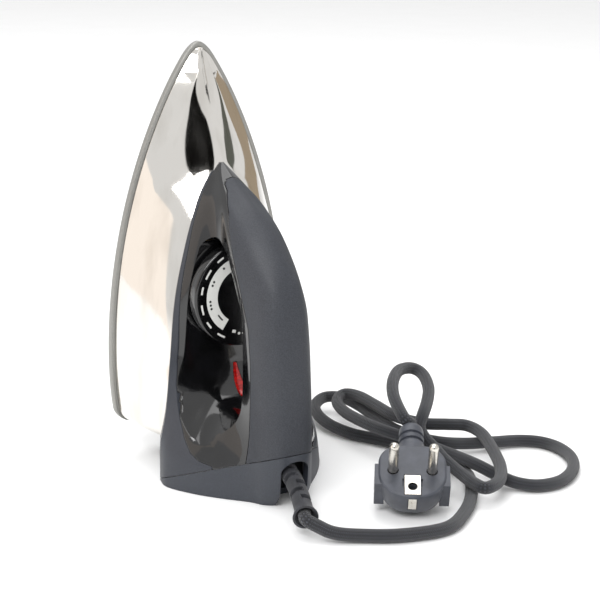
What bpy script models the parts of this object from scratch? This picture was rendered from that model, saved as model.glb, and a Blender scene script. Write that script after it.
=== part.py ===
"""Dry iron standing on its heel: cast soleplate, steel cover, moulded body and handle,
dial, pilot light, thermostat, cord with strain relief and an angled earthed plug.

World axes: +Z from the heel to the tip, +Y out of the soleplate's working face, -X the iron's
left side. The origin is on the table, under the middle of the iron. A station is a height
above the heel (Z) and a level is a distance from the working face towards the handle (-Y).
"""

import math

import bmesh
import bpy
from mathutils import Matrix, Vector

MM = 0.001

# Overall sizes
IRON_HEIGHT = 110 * MM          # working face to the top of the handle
SOLE_HALF_WIDTH = 52.1 * MM
SOLE_TIP = 217 * MM             # station of the tip
SOLE_WIDEST = 54 * MM           # station of the widest place
SOLE_REAR = 17.6 * MM           # station of the rear edge
SOLE_CORNER = 9 * MM            # rear corner radius
TIP_RUN_ON = 3 * MM             # the sides aim this far beyond the tip
TIP_ROUNDING = 10 * MM          # stretch over which the tip is rounded off
SOLE_THICK = 5.5 * MM
SOLE_BEVEL = 0.8 * MM
GAP = 0.35 * MM                 # between pieces that touch

# Cover
COVER_INSET = 2.4 * MM          # ledge of soleplate left showing
COVER_REAR = 18.3 * MM
COVER_WALL = 1.0 * MM
COVER_CREASE = 12.2 * MM        # level of the crease
COVER_TIP = SOLE_TIP - COVER_INSET - 0.4 * MM

# Body
BODY_REAR_WALL = 3.0 * MM
BODY_WALL = 2.6 * MM
SKIRT_LEVEL = 6.0 * MM          # the skirt's edge nearest the working face
HEEL_SEAM_LEVEL = 50 * MM       # where the heel cap's seam leaves the table
HEEL_SEAM_SLOPE = 0.43
DECK_LEVEL = 45.5 * MM
GRIP_INNER = 80.5 * MM          # level of the grip's underside
BOWL_RADIUS = 22 * MM
OPENING_REAR = 39 * MM
OPENING_FRONT = 130 * MM
FLARE_DEPTH = 24 * MM           # how far the opening's rear is scooped back at the sides
FLARE_START = 12 * MM           # side distance where the scoop starts
FLARE_RUN = 28 * MM

# Dial and pilot light
DIAL_STATION = 95 * MM
DIAL_RADIUS = 27 * MM
DIAL_HEIGHT = 7.6 * MM
DIAL_LIFT = 0.8 * MM
SPINDLE_RADIUS = 3.0 * MM
LENS_HALF_WIDTH = 2.3 * MM
LENS_START, LENS_END = 12.0, 62.0   # degrees round the bowl
LENS_DEPTH = 1.9 * MM

# Inside
STUD_RADIUS = 2.5 * MM
STUD_STATIONS = (58 * MM, 148 * MM)
PLATE_LEVEL = 14.5 * MM
PLATE_THICK = 4.0 * MM
ELEMENT_RADIUS = 3.4 * MM
ELEMENT_LEVEL = 7.6 * MM
SCREW_RADIUS = 1.5 * MM

# Cord and plug
CORD_DIAMETER = 6.4 * MM
RELIEF_RADIUS = 4.5 * MM
BELL_RADIUS = 6.2 * MM
BELL_DEPTH = 4.5 * MM
NOTCH_HALF_WIDTH = 7.6 * MM
NOTCH_TOP = 24.5 * MM
PIN_RADIUS = 2.4 * MM
PIN_LENGTH = 19 * MM
PIN_SPACING = 19 * MM
EARTH_OFFSET = 10 * MM
PLUG_FACE_HALF = 16.6 * MM
PLUG_DEPTH = 21.5 * MM
NECK_LENGTH = 17.5 * MM
NECK_DEPTH = 8 * MM             # its axis behind the plug's face
EARTH_PLATE = (7.7 * MM, 12.0 * MM, 1.2 * MM)
EARTH_HOLE = 2.4 * MM           # radius
PLUG_TURN = -33.0               # degrees about Z
PLUG_LEAN = 26.2                # degrees towards the front

SEGMENTS = 24


# ---------------------------------------------------------------- helpers

def at(x, level, station):
    """World place of a point given by its side, level and station."""
    return Vector((x, IRON_HEIGHT / 2 - level, station))


def smooth(rail, z):
    """Monotone cubic through a rail's (z, value, ...) points."""
    if z <= rail[0][0]:
        return rail[0][1:]
    if z >= rail[-1][0]:
        return rail[-1][1:]
    i = max(k for k in range(len(rail) - 1) if rail[k][0] <= z)
    (z0, *a), (z1, *b) = rail[i], rail[i + 1]
    step, t = z1 - z0, (z - z0) / (z1 - z0)
    out = []
    for k in range(len(a)):
        slope = (b[k] - a[k]) / step
        m = []
        for j in (i, i + 1):
            if 0 < j < len(rail) - 1:
                before = (rail[j][k + 1] - rail[j - 1][k + 1]) / (rail[j][0] - rail[j - 1][0])
                after = (rail[j + 1][k + 1] - rail[j][k + 1]) / (rail[j + 1][0] - rail[j][0])
                both = before * after
                m.append(2 * both / (before + after) if both > 0 else 0.0)
            else:
                m.append(slope)
        out.append((2 * t**3 - 3 * t**2 + 1) * a[k] + (t**3 - 2 * t**2 + t) * step * m[0]
                   + (3 * t**2 - 2 * t**3) * b[k] + (t**3 - t**2) * step * m[1])
    return tuple(out)


def in_mm(*rail):
    return tuple(tuple(value * MM for value in point) for point in rail)


def material(name, colour, roughness, metallic=0.0):
    mat = bpy.data.materials.get(name) or bpy.data.materials.new(name)
    mat.use_nodes = True
    shader = mat.node_tree.nodes["Principled BSDF"]
    shader.inputs["Base Color"].default_value = (*colour, 1)
    shader.inputs["Roughness"].default_value = roughness
    shader.inputs["Metallic"].default_value = metallic
    return mat


def add_object(name, mesh, mat=None):
    obj = bpy.data.objects.new(name, mesh)
    bpy.context.scene.collection.objects.link(obj)
    if mat:
        mesh.materials.append(mat)
    return obj


def from_bmesh(name, bm, mat=None):
    bmesh.ops.triangulate(bm, faces=bm.faces)
    bmesh.ops.recalc_face_normals(bm, faces=bm.faces)
    mesh = bpy.data.meshes.new(name)
    bm.to_mesh(mesh)
    bm.free()
    return add_object(name, mesh, mat)


def loft(name, rings, mat=None, closed=False):
    """Skin through rings of equal count; the ends are capped unless the loft is a closed loop."""
    bm = bmesh.new()
    rows = [[bm.verts.new(p) for p in ring] for ring in rings]
    count = len(rows[0])
    pairs = list(zip(rows, rows[1:])) + ([(rows[-1], rows[0])] if closed else [])
    for low, high in pairs:
        for k in range(count):
            n = (k + 1) % count
            bm.faces.new((low[k], low[n], high[n], high[k]))
    if not closed:
        bm.faces.new(list(reversed(rows[0])))
        bm.faces.new(rows[-1])
    return from_bmesh(name, bm, mat)


def prism(name, outline, start, end, mat=None):
    """A (station, level) outline carried along X from start to end."""
    return loft(name, [[at(x, level, station) for station, level in outline]
                       for x in (start, end)], mat)


def box(name, centre, size, mat=None):
    bm = bmesh.new()
    bmesh.ops.create_cube(bm, size=1)
    bmesh.ops.scale(bm, vec=size, verts=bm.verts)
    bmesh.ops.translate(bm, vec=centre, verts=bm.verts)
    return from_bmesh(name, bm, mat)


def frame_along(direction):
    """Two unit vectors square to a direction, the first kept level where it can be."""
    direction = direction.normalized()
    side = direction.cross(Vector((0, 0, 1)))
    if side.length < 1e-3:
        side = Vector((1, 0, 0))
    side.normalize()
    return side, side.cross(direction)


def circle(centre, direction, radius, segments=SEGMENTS):
    u, v = frame_along(direction)
    return [centre + radius * (math.cos(a) * u + math.sin(a) * v)
            for a in (2 * math.pi * k / segments for k in range(segments))]


def lathe(name, base, axis, profile, mat=None, segments=SEGMENTS):
    """Solid of revolution: (distance along the axis, radius) pairs from base."""
    axis = axis.normalized()
    return loft(name, [circle(base + axis * d, axis, r, segments) for d, r in profile], mat)


def rod(name, start, end, radius, mat=None, segments=SEGMENTS):
    length = (end - start).length
    return lathe(name, start, end - start, [(0, radius), (length, radius)], mat, segments)


def tube(name, points, radii, mat=None, segments=SEGMENTS):
    """Round solid along a bent path, with a radius at each point."""
    rings, side = [], None
    for i, p in enumerate(points):
        ahead = points[min(i + 1, len(points) - 1)] - points[max(i - 1, 0)]
        ahead.normalize()
        side = frame_along(ahead)[0] if side is None else side
        side = (side - ahead * side.dot(ahead)).normalized()
        up = side.cross(ahead)
        rings.append([p + radii[i] * (math.cos(a) * side + math.sin(a) * up)
                      for a in (2 * math.pi * k / segments for k in range(segments))])
    return loft(name, rings, mat)


def bend(points, steps):
    """Catmull-Rom points along a route."""
    out = []
    for i in range(len(points) - 1):
        p0, p1 = points[max(i - 1, 0)], points[i]
        p2, p3 = points[i + 1], points[min(i + 2, len(points) - 1)]
        for k in range(steps):
            t = k / steps
            out.append(0.5 * (2 * p1 + (p2 - p0) * t + (2 * p0 - 5 * p1 + 4 * p2 - p3) * t**2
                              + (3 * p1 - p0 - 3 * p2 + p3) * t**3))
    return out + [points[-1]]


def boolean(obj, other, operation="DIFFERENCE"):
    modifier = obj.modifiers.new(other.name, "BOOLEAN")
    modifier.operation = operation
    modifier.solver = "EXACT"
    modifier.object = other
    other.hide_render = True
    other.display_type = "WIRE"
    other.hide_viewport = False
    return obj


def rounded(corners, steps=5):
    """A polygon's (a, b, radius) corners, each rounded by an arc."""
    out = []
    for i, (a, b, radius) in enumerate(corners):
        here = Vector((a, b))
        before = (Vector(corners[i - 1][:2]) - here).normalized()
        after = (Vector(corners[(i + 1) % len(corners)][:2]) - here).normalized()
        half = math.acos(max(-1, min(1, before.dot(after)))) / 2
        centre = here + (before + after).normalized() * radius / math.sin(half)
        start = here + before * radius / math.tan(half) - centre
        end = here + after * radius / math.tan(half) - centre
        sweep = start.angle_signed(end)
        for k in range(steps + 1):
            turn = -sweep * k / steps
            out.append(tuple(centre + Matrix.Rotation(turn, 2) @ start))
    return out


# ---------------------------------------------------------------- soleplate outline

def sole_width(z, rear=SOLE_REAR, corner=SOLE_CORNER, inset=0.0):
    """Half-width of the soleplate's outline, drawn in by inset, at a station."""
    if z >= SOLE_WIDEST:
        s = (z - SOLE_WIDEST) / (SOLE_TIP + TIP_RUN_ON - SOLE_WIDEST)
        nose = (z - SOLE_TIP + inset + TIP_ROUNDING) / TIP_ROUNDING
        nose = max(0.0, min(1.0, nose))
        side = SOLE_HALF_WIDTH * (1 - min(1.0, s * s)) ** 0.85 - inset
        return max(0.0, side) * math.sqrt(1 - nose**6)
    width = SOLE_HALF_WIDTH - 3 * MM * ((SOLE_WIDEST - z) / (SOLE_WIDEST - SOLE_REAR)) ** 2
    if z < rear + corner:
        width -= corner - math.sqrt(max(0.0, corner**2 - (rear + corner - z) ** 2))
    return width - inset


def sole_stations(rear, count=15):
    """Stations from the rear edge to the tip, close together at both ends."""
    corner = [rear + SOLE_CORNER * (1 - math.cos(k * math.pi / 8)) for k in range(4)]
    front = [SOLE_TIP - (SOLE_TIP - rear - SOLE_CORNER) * (1 - k / count) ** 2.2
             for k in range(count)]
    return corner + front


def sole_ring(level, inset):
    """The plan outline at a level, drawn in by inset all the way round."""
    low, high = SOLE_REAR + inset, SOLE_TIP - inset
    half = []
    for z in sole_stations(SOLE_REAR):
        z = low + (z - SOLE_REAR) * (high - low) / (SOLE_TIP - SOLE_REAR)
        half.append((max(sole_width(z, inset=inset), 0.4 * MM), z))
    half.append((0, high))
    ring = half + [(-x, z) for x, z in reversed(half[:-1])]
    return [at(x, level, z) for x, z in ring]


# ---------------------------------------------------------------- cover and body rails
# Each rail is (station, half-width, level).

COVER_SHOULDER = in_mm(
    (18.3, 38.5, 44), (40, 37, 42.5), (60, 34, 40.5), (90, 29, 39), (110, 25, 38),
    (127, 20.5, 36.5), (141, 12.5, 34.3), (150, 6.5, 32), (158, 3.2, 29.5), (180, 1.6, 20.6),
    (204, 0.7, 10.6), (212, 0.35, 8.4))
COVER_TOP = in_mm(
    (18.3, 0, 43), (40, 0, 41), (60, 0, 39.2), (100, 0, 38), (127, 0, 37), (141, 0, 35.6),
    (158, 0, 30.2), (182, 0, 20.2), (205, 0, 10.9), (212, 0, 8.6))
CREASE_DRAW = in_mm(
    (18.3, 1.2, 0), (90, 2.2, 0), (130, 3.4, 0), (160, 5.2, 0), (185, 7.6, 0), (200, 7.2, 0),
    (208, 4.4, 0), (212, 2.2, 0))

CHINE = in_mm((0, 44, 47), (15, 44, 47), (35, 40, 46), (60, 35.5, 42), (90, 31.5, 39.5),
              (120, 24, 37), (141, 15.5, 34), (152, 8, 31), (159, 1.6, 28.5))
DECK = in_mm((0, 45, 57), (15, 43.5, 56), (35, 36, 54), (50, 31, 50), (65, 27.5, 46.8),
             (95, 25.5, 46.2), (120, 21, 43.5), (141, 14, 38.5), (152, 7.2, 33), (159, 1.4, 29))
NECK = in_mm((0, 37, 71), (15, 35.5, 70), (35, 26, 66), (50, 20.5, 62), (70, 17, 60),
             (95, 15.5, 57), (120, 14.5, 51), (141, 12, 43.5), (152, 6.5, 35), (159, 1.3, 29.6))
UNDER = in_mm((0, 27, 83), (15, 25, 82), (35, 18.5, 79), (60, 14.5, 76), (95, 14, 71),
              (120, 13.5, 60), (141, 11, 49), (152, 6, 37), (159, 1.2, 30.2))
PART = in_mm((0, 17, 93), (15, 17, 91.5), (35, 15.5, 90), (60, 15, 89.5), (85, 15, 87),
             (108, 15, 77), (125, 14.2, 67), (141, 10.5, 53.5), (152, 5.5, 39), (159, 1, 30.8))
SHOULDER = in_mm((0, 12.5, 99.5), (8, 14, 101), (35, 13.5, 101), (70, 13, 99.5), (95, 12.8, 96),
                 (112, 12.5, 87), (128, 11.5, 74), (141, 9, 58.5), (152, 4.6, 41), (159, 0.8, 31.3))
CROWN_EDGE = in_mm((0, 7, 103), (8, 8, 107.5), (35, 8, 108.5), (70, 7.5, 106.5), (92, 7.5, 103.5),
                   (108, 7.5, 98), (122, 7.3, 86), (134, 6.8, 72.5), (145, 4.8, 54),
                   (153, 2.4, 41), (159, 0.5, 31.8))
CROWN = in_mm((0, 0, 104.5), (8, 0, 109), (20, 0, 110), (35, 0, 110), (70, 0, 107.7),
              (90, 0, 105.3), (105, 0, 101), (118, 0, 93), (130, 0, 80.5), (140, 0, 66),
              (148, 0, 51), (154, 0, 40.5), (159, 0, 32))
BODY_SIDES = (CHINE, DECK, NECK, UNDER, PART, SHOULDER, CROWN_EDGE)
BODY_TIP = 159 * MM

SADDLE_LINE = in_mm((170, 26), (159, 29.3), (150, 32.6), (141, 35.6), (120, 39.4), (90, 41.8),
                    (62, 43.5), (50, 46.5), (42, 50), (34, 54.5), (26, 60), (20, 66), (17, 71),
                    (15.4, 77))
PART_LINE = in_mm((168, 46), (156, 42.4), (152.4, 41.4), (150.3, 43.6), (148, 47.6), (144.8, 52),
                  (139.5, 57.8), (127, 66.3), (110, 76.5), (88, 87), (70, 89.5), (21, 90))


def mirrored(half):
    """A ring from the half-section's points, bottom to top on the right, top first twice."""
    left = [(-x, level) for x, level in reversed(half) if x > 1e-7]
    return half + left


def cover_ring(z, grow):
    wide = sole_width(max(z, COVER_REAR), COVER_REAR, SOLE_CORNER - COVER_INSET, COVER_INSET)
    draw = smooth(CREASE_DRAW, z)[0]
    shoulder, top = smooth(COVER_SHOULDER, z), smooth(COVER_TOP, z)[1]
    corner = SOLE_CORNER - COVER_INSET
    step = max(0.0, COVER_REAR + corner - z)
    shoulder_width = shoulder[0] - (corner - math.sqrt(max(0.0, corner**2 - step**2)))
    crease = min(COVER_CREASE, top - 0.25 * MM)
    rim = SOLE_THICK + GAP - (6 * MM if grow < 0 else 0) - max(grow, 0)
    wide = max(wide, 0.9 * MM)
    crease_width = max(wide - draw, 0.6 * MM)
    over = max(min(shoulder_width, crease_width - 0.2 * MM), 0.3 * MM)
    middle = ((crease_width + over) / 2 + 0.9 * MM, (crease + shoulder[1]) / 2 + 0.6 * MM)
    if crease_width - over < 3 * MM:
        middle = ((crease_width + over) / 2, (crease + shoulder[1]) / 2)
    half = [(max(wide + grow, 0.2 * MM), rim),
            (max(crease_width + grow, 0.18 * MM), crease + grow * 0.3),
            (max(middle[0] + grow * 0.8, 0.15 * MM), middle[1] + grow * 0.7),
            (max(over + grow * 0.5, 0.1 * MM), shoulder[1] + grow),
            (0, top + grow)]
    return [at(x, level, z) for x, level in mirrored(half)]


def cover_stations(start, end):
    corner = SOLE_CORNER - COVER_INSET
    rear = [start + corner * (1 - math.cos(k * math.pi / 8)) for k in range(4)]
    fixed = [36, 50, 64, 78, 92, 105, 116, 127, 135, 142, 150, 158, 166, 174, 182, 190, 197, 203]
    fixed = [z * MM for z in fixed if start + corner < z * MM < end - 5 * MM]
    return rear + [start + corner] + fixed + [end - step * MM for step in (4, 2, 0.8, 0)]


def body_ring(z, inset=0.0, foot=None):
    foot_width = smooth(in_mm((0, 24), (20, 24), (90, 19), (125, 10), (159, 0.8)), z)[0]
    half = [(max(foot_width - inset, 0.25 * MM), foot if foot is not None else SKIRT_LEVEL)]
    for rail in BODY_SIDES:
        width, level = smooth(rail, z)
        half.append((max(width - inset, 0.2 * MM), level - (inset * 0.6 if rail in
                    (SHOULDER, CROWN_EDGE) else 0)))
    half.append((0, smooth(CROWN, z)[1] - inset))
    return [at(x, level, z) for x, level in mirrored(half)]


BODY_STATIONS = [z * MM for z in (0, 1.5, 5, 10, 16, 24, 34, 44, 54, 64, 76, 88, 98, 107, 115,
                                  122, 129, 135, 141, 146, 150, 153.5, 156.5, 159)]


def opening_outline(grow=0.0, flare=0.0):
    """Finger opening in (station, level), grown for its walls, its rear moved back by a flare."""
    g = grow
    return rounded([(OPENING_FRONT + g, DECK_LEVEL - 0.8 * MM - g, 6 * MM),
                    (OPENING_REAR - flare - g, DECK_LEVEL - g, BOWL_RADIUS + 1.1 * flare + g),
                    (OPENING_REAR - 0.5 * MM - flare - g, GRIP_INNER + flare + g, 9 * MM),
                    (93 * MM, GRIP_INNER - 0.5 * MM + flare + g, 14 * MM),
                    (120 * MM + g, 63 * MM + 0.8 * g, 8 * MM)], 6)


def flared_opening(name, grow):
    """The finger opening through the body, its rear scooped back towards both sides."""
    half = [12, 17, 21, 25, 29, 33, 37, 42, 60]
    rings = []
    for x in [-x for x in reversed(half)] + half:
        t = min(1.0, max(0.0, (abs(x) * MM - FLARE_START) / FLARE_RUN))
        outline = opening_outline(grow, FLARE_DEPTH * t * t * (3 - 2 * t))
        rings.append([at(x * MM, level, station) for station, level in outline])
    return loft(name, rings)


def heel_seam(level, shift):
    """Station of the heel cap's seam at a level, moved up by shift."""
    return 2 * MM + HEEL_SEAM_SLOPE * (level - HEEL_SEAM_LEVEL) + shift


def heel_outline(shift):
    """Everything under the heel seam, moved up by shift."""
    low, high = 20 * MM, 130 * MM
    return [(heel_seam(low, shift), low), (heel_seam(high, shift), high), (-40 * MM, high),
            (-40 * MM, low)]


def shifted(line, distance):
    """The line moved square to itself; a positive distance moves it towards the handle."""
    out = []
    for i, (z, level) in enumerate(line):
        before, after = line[max(i - 1, 0)], line[min(i + 1, len(line) - 1)]
        along = Vector((after[0] - before[0], after[1] - before[1])).normalized()
        out.append((z + along.y * distance, level - along.x * distance))
    return out


# ---------------------------------------------------------------- sub-parts

def build_soleplate():
    metal = material("sole_aluminium", (0.42, 0.42, 0.40), 0.45, 0.9)
    levels = [(0, 2.2 * MM), (1.0 * MM, 0.7 * MM), (2.6 * MM, 0), (SOLE_THICK - SOLE_BEVEL, 0),
              (SOLE_THICK, SOLE_BEVEL)]
    sole = loft("soleplate", [sole_ring(level, inset) for level, inset in levels], metal)
    route = element_route()
    groove = tube("cut_element_groove", route, [ELEMENT_RADIUS + GAP] * len(route), segments=16)
    boolean(sole, groove)
    for i, station in enumerate(STUD_STATIONS):
        hole = rod(f"cut_stud_{i}", at(0, 2.5 * MM, station), at(0, 9 * MM, station),
                   STUD_RADIUS + GAP)
        boolean(sole, hole)
    return sole


def element_route():
    """U of the heater, from the left terminal round the tip to the right one."""
    leg = [(-17, 15.0, 34), (-23.5, 9.4, 41), (-30, 7.6, 52), (-33, 7.6, 68), (-31.5, 7.6, 90),
           (-26, 7.6, 114), (-18.5, 7.6, 138), (-10.5, 7.6, 156)]
    half = [at(x * MM, level * MM, z * MM) for x, level, z in leg]
    turn = at(0, 7.6 * MM, 164 * MM)
    return bend(half + [turn] + [Vector((-p.x, p.y, p.z)) for p in reversed(half)], 3)


def build_element():
    steel = material("element_steel", (0.30, 0.28, 0.26), 0.55, 1.0)
    route = element_route()
    tube("heating_element", route, [ELEMENT_RADIUS] * len(route), steel, 16)
    nickel = material("terminal_nickel", (0.72, 0.70, 0.66), 0.35, 1.0)
    for side, name in ((-1, "left"), (1, "right")):
        end = route[0] if side < 0 else route[-1]
        ahead = (route[0] - route[1] if side < 0 else route[-1] - route[-2]).normalized()
        start = end + ahead * GAP
        rod(f"element_terminal_{name}", start, start + ahead * 7 * MM, 1.4 * MM, nickel, 12)


def build_cover():
    steel = material("cover_polished_steel", (0.78, 0.77, 0.75), 0.10, 1.0)
    cover = loft("cover", [cover_ring(z, 0) for z in cover_stations(COVER_REAR, COVER_TIP)], steel)
    inner = loft("cut_cover_inside", [cover_ring(z, -COVER_WALL) for z in
                 cover_stations(COVER_REAR + COVER_WALL, 196 * MM)])
    boolean(cover, inner)
    for i, station in enumerate(STUD_STATIONS):
        hole = rod(f"cut_cover_stud_{i}", at(0, 28 * MM, station), at(0, 52 * MM, station),
                   STUD_RADIUS + GAP)
        boolean(cover, hole)
    spindle = rod("cut_cover_spindle", at(0, 30 * MM, DIAL_STATION), at(0, 52 * MM, DIAL_STATION),
                  7.0 * MM)
    boolean(cover, spindle)
    window = box("cut_cover_wires", at(0, 45 * MM, 33 * MM), (40 * MM, 12 * MM, 16 * MM))
    return boolean(cover, window)


def body_master(name, mat, outline, foot=None):
    """The whole handle body, cut to one piece's outline and hollowed."""
    piece = loft(name, [body_ring(z, foot=foot) for z in BODY_STATIONS], mat)
    keep = prism(f"cut_{name}_region", outline, -70 * MM, 70 * MM)
    boolean(piece, keep, "INTERSECT")
    return piece


def shared_cutters():
    end = 153 * MM
    inside = [z for z in BODY_STATIONS if 3 * MM < z < end]
    hollow = loft("cut_body_hollow", [body_ring(z, BODY_WALL, -4 * MM) for z in
                                      [BODY_REAR_WALL] + inside[1:] ])
    boolean(hollow, flared_opening("cut_body_hollow_keep", BODY_WALL))
    opening = flared_opening("cut_finger_opening", 0)
    envelope = loft("cut_cover_envelope",
                    [cover_ring(z, GAP) for z in cover_stations(COVER_REAR, COVER_TIP)])
    return hollow, opening, envelope


def lens_ring(angle, half_width, deep, proud):
    """Four corners of the lens at an angle round the bowl."""
    centre = (OPENING_REAR + BOWL_RADIUS, DECK_LEVEL + BOWL_RADIUS)
    turn = math.radians(angle)
    out = []
    for reach in (BOWL_RADIUS - proud, BOWL_RADIUS + deep):
        station = centre[0] - reach * math.sin(turn)
        level = centre[1] - reach * math.cos(turn)
        out.append((station, level))
    (s0, l0), (s1, l1) = out
    return [at(-half_width, l0, s0), at(half_width, l0, s0),
            at(half_width, l1, s1), at(-half_width, l1, s1)]


def teardrop(t):
    """Share of the lens's width: narrow at the front, fullest near the round rear end."""
    return 0.26 + 0.74 * math.sin(math.pi * min(1.0, 0.62 * t)) * math.sqrt(1 - 0.86 * t**10)


def lens_rings(grow, deep, proud):
    count = 12
    rings = []
    for k in range(count + 1):
        t = k / count
        width = LENS_HALF_WIDTH * teardrop(t)
        angle = LENS_START + (LENS_END - LENS_START) * t
        spread = math.degrees(grow / BOWL_RADIUS)
        angle += -spread if k == 0 else spread if k == count else 0
        rings.append(lens_ring(angle, width + grow, deep, proud))
    return rings


def build_body(hollow, opening, envelope):
    satin = material("body_satin", (0.062, 0.066, 0.075), 0.42)
    gloss = material("saddle_gloss", (0.012, 0.012, 0.013), 0.08)
    grip = material("grip_textured", (0.045, 0.047, 0.054), 0.62)
    far, low, top = 180 * MM, 2 * MM, 130 * MM
    half_gap = GAP / 2
    # The shell lies under the saddle line, the grip cover outside the parting line and the
    # saddle between the two. The heel seam ends all three.
    line = shifted(SADDLE_LINE, -half_gap)
    shell = body_master("body_shell", satin, line + [
        (heel_seam(line[-1][1], GAP), line[-1][1]), (heel_seam(low, GAP), low), (far, low)])
    line, parting = shifted(SADDLE_LINE, half_gap), shifted(PART_LINE, -half_gap)
    corner = line[-1][1] + GAP
    saddle = body_master("saddle_panel", gloss, line + [
        (heel_seam(corner, GAP), corner), (heel_seam(parting[-1][1], GAP), parting[-1][1])]
        + list(reversed(parting)), foot=20 * MM)
    parting = shifted(PART_LINE, half_gap)
    cover = body_master("grip_cover", grip, parting + [
        (heel_seam(parting[-1][1], GAP), parting[-1][1]), (heel_seam(top, GAP), top),
        (parting[0][0], top)], foot=20 * MM)
    cap = body_master("heel_cap", satin, heel_outline(0), foot=20 * MM)

    for piece in (shell, saddle, cover, cap):
        boolean(piece, opening)
        boolean(piece, hollow)
    boolean(shell, envelope)
    boolean(saddle, envelope)
    notch = cord_notch()
    boolean(cap, notch)
    lens_cut = loft("cut_lens", lens_rings(GAP, 6 * MM, 6 * MM))
    boolean(saddle, lens_cut)
    boolean(shell, lens_cut)
    shaft = rod("cut_saddle_spindle", at(0, 36 * MM, DIAL_STATION), at(0, 52 * MM, DIAL_STATION),
                SPINDLE_RADIUS + 0.6 * MM)
    boolean(saddle, shaft)
    heel_hole = rod("cut_heel_screw", at(0, 64 * MM, -4 * MM), at(0, 64 * MM, 20 * MM), 2.0 * MM)
    boolean(cap, heel_hole)
    sink = rod("cut_heel_screw_head", at(0, 64 * MM, -4 * MM), at(0, 64 * MM, 2.4 * MM), 3.6 * MM)
    boolean(cap, sink)
    return shell, saddle, cover, cap


def cord_notch():
    w, top = NOTCH_HALF_WIDTH, NOTCH_TOP
    outline = [(-w, -4 * MM), (-w, top - w), (-0.7 * w, top - 0.25 * w), (-0.2 * w, top),
               (0.2 * w, top), (0.7 * w, top - 0.25 * w), (w, top - w), (w, -4 * MM)]
    return loft("cut_cord_notch", [[at(x, level, z) for x, z in outline]
                                   for level in (92 * MM, 125 * MM)])


def build_dial():
    black = material("dial_gloss", (0.010, 0.010, 0.011), 0.12)
    base = at(0, DECK_LEVEL + DIAL_LIFT, DIAL_STATION)
    out = Vector((0, -1, 0))
    r, h = DIAL_RADIUS, DIAL_HEIGHT
    profile = [(0, r - 1.4 * MM), (0.9 * MM, r - 0.2 * MM), (h - 1.6 * MM, r),
               (h - 0.5 * MM, r - 0.6 * MM), (h, r - 1.8 * MM)]
    dial = lathe("dial", base, out, profile, black, 48)
    socket = rod("cut_dial_socket", base - out * MM, base + out * 5.0 * MM, SPINDLE_RADIUS + GAP)
    boolean(dial, socket)
    set_origin(dial, base)
    brass = material("spindle_brass", (0.62, 0.46, 0.20), 0.35, 1.0)
    spindle = lathe("dial_spindle", at(0, 25.2 * MM, DIAL_STATION), out,
                    [(0, 1.6 * MM), (1.2 * MM, SPINDLE_RADIUS), (25.4 * MM, SPINDLE_RADIUS)],
                    brass, 16)
    set_origin(spindle, base)
    return dial


def set_origin(obj, place):
    obj.data.transform(Matrix.Translation(-place))
    obj.location = place


def build_pilot_light():
    red = material("lens_red", (0.62, 0.02, 0.015), 0.15)
    loft("pilot_lens", lens_rings(0, LENS_DEPTH, -0.15 * MM), red)
    glass = material("lamp_glass", (0.85, 0.62, 0.45), 0.05)
    start = at(0, 44.5 * MM, 43.0 * MM)
    lathe("neon_lamp", start, at(0, 52 * MM, 33.5 * MM) - start,
          [(0, 0.8 * MM), (0.8 * MM, 2.2 * MM), (11 * MM, 2.5 * MM), (12 * MM, 2.0 * MM)],
          glass, 14)


def build_thermostat():
    steel = material("bracket_steel", (0.55, 0.54, 0.52), 0.4, 1.0)
    ceramic = material("stack_ceramic", (0.78, 0.74, 0.66), 0.7)
    bimetal = material("bimetal_strip", (0.52, 0.43, 0.33), 0.4, 1.0)
    copper = material("contact_copper", (0.75, 0.42, 0.28), 0.35, 1.0)
    z = DIAL_STATION
    floor = SOLE_THICK + GAP
    box("thermostat_bracket", at(0, floor + 0.9 * MM, z - 4 * MM), (16 * MM, 1.8 * MM, 40 * MM),
        steel)
    base = floor + 1.8 * MM + GAP
    lathe("thermostat_stack", at(0, base, z - 18 * MM), Vector((0, -1, 0)),
          [(0, 4.5 * MM), (5.6 * MM, 4.5 * MM)], ceramic, 20)
    level = base + 5.6 * MM + GAP
    box("bimetal_strip", at(0, level + 0.4 * MM, z - 4 * MM), (8 * MM, 0.8 * MM, 36 * MM), bimetal)
    level += 0.8 * MM + GAP
    lathe("thermostat_spacer", at(0, level, z - 18 * MM), Vector((0, -1, 0)),
          [(0, 4.2 * MM), (3.6 * MM, 4.2 * MM)], ceramic, 20)
    level += 3.6 * MM + GAP
    box("contact_blade", at(0, level + 0.3 * MM, z - 5 * MM), (6 * MM, 0.6 * MM, 34 * MM), copper)
    lathe("contact_rivet", at(0, level - GAP, z + 8 * MM), Vector((0, 1, 0)),
          [(0, 1.8 * MM), (0.9 * MM, 2.0 * MM), (2.4 * MM, 1.5 * MM)], copper, 16)


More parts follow.
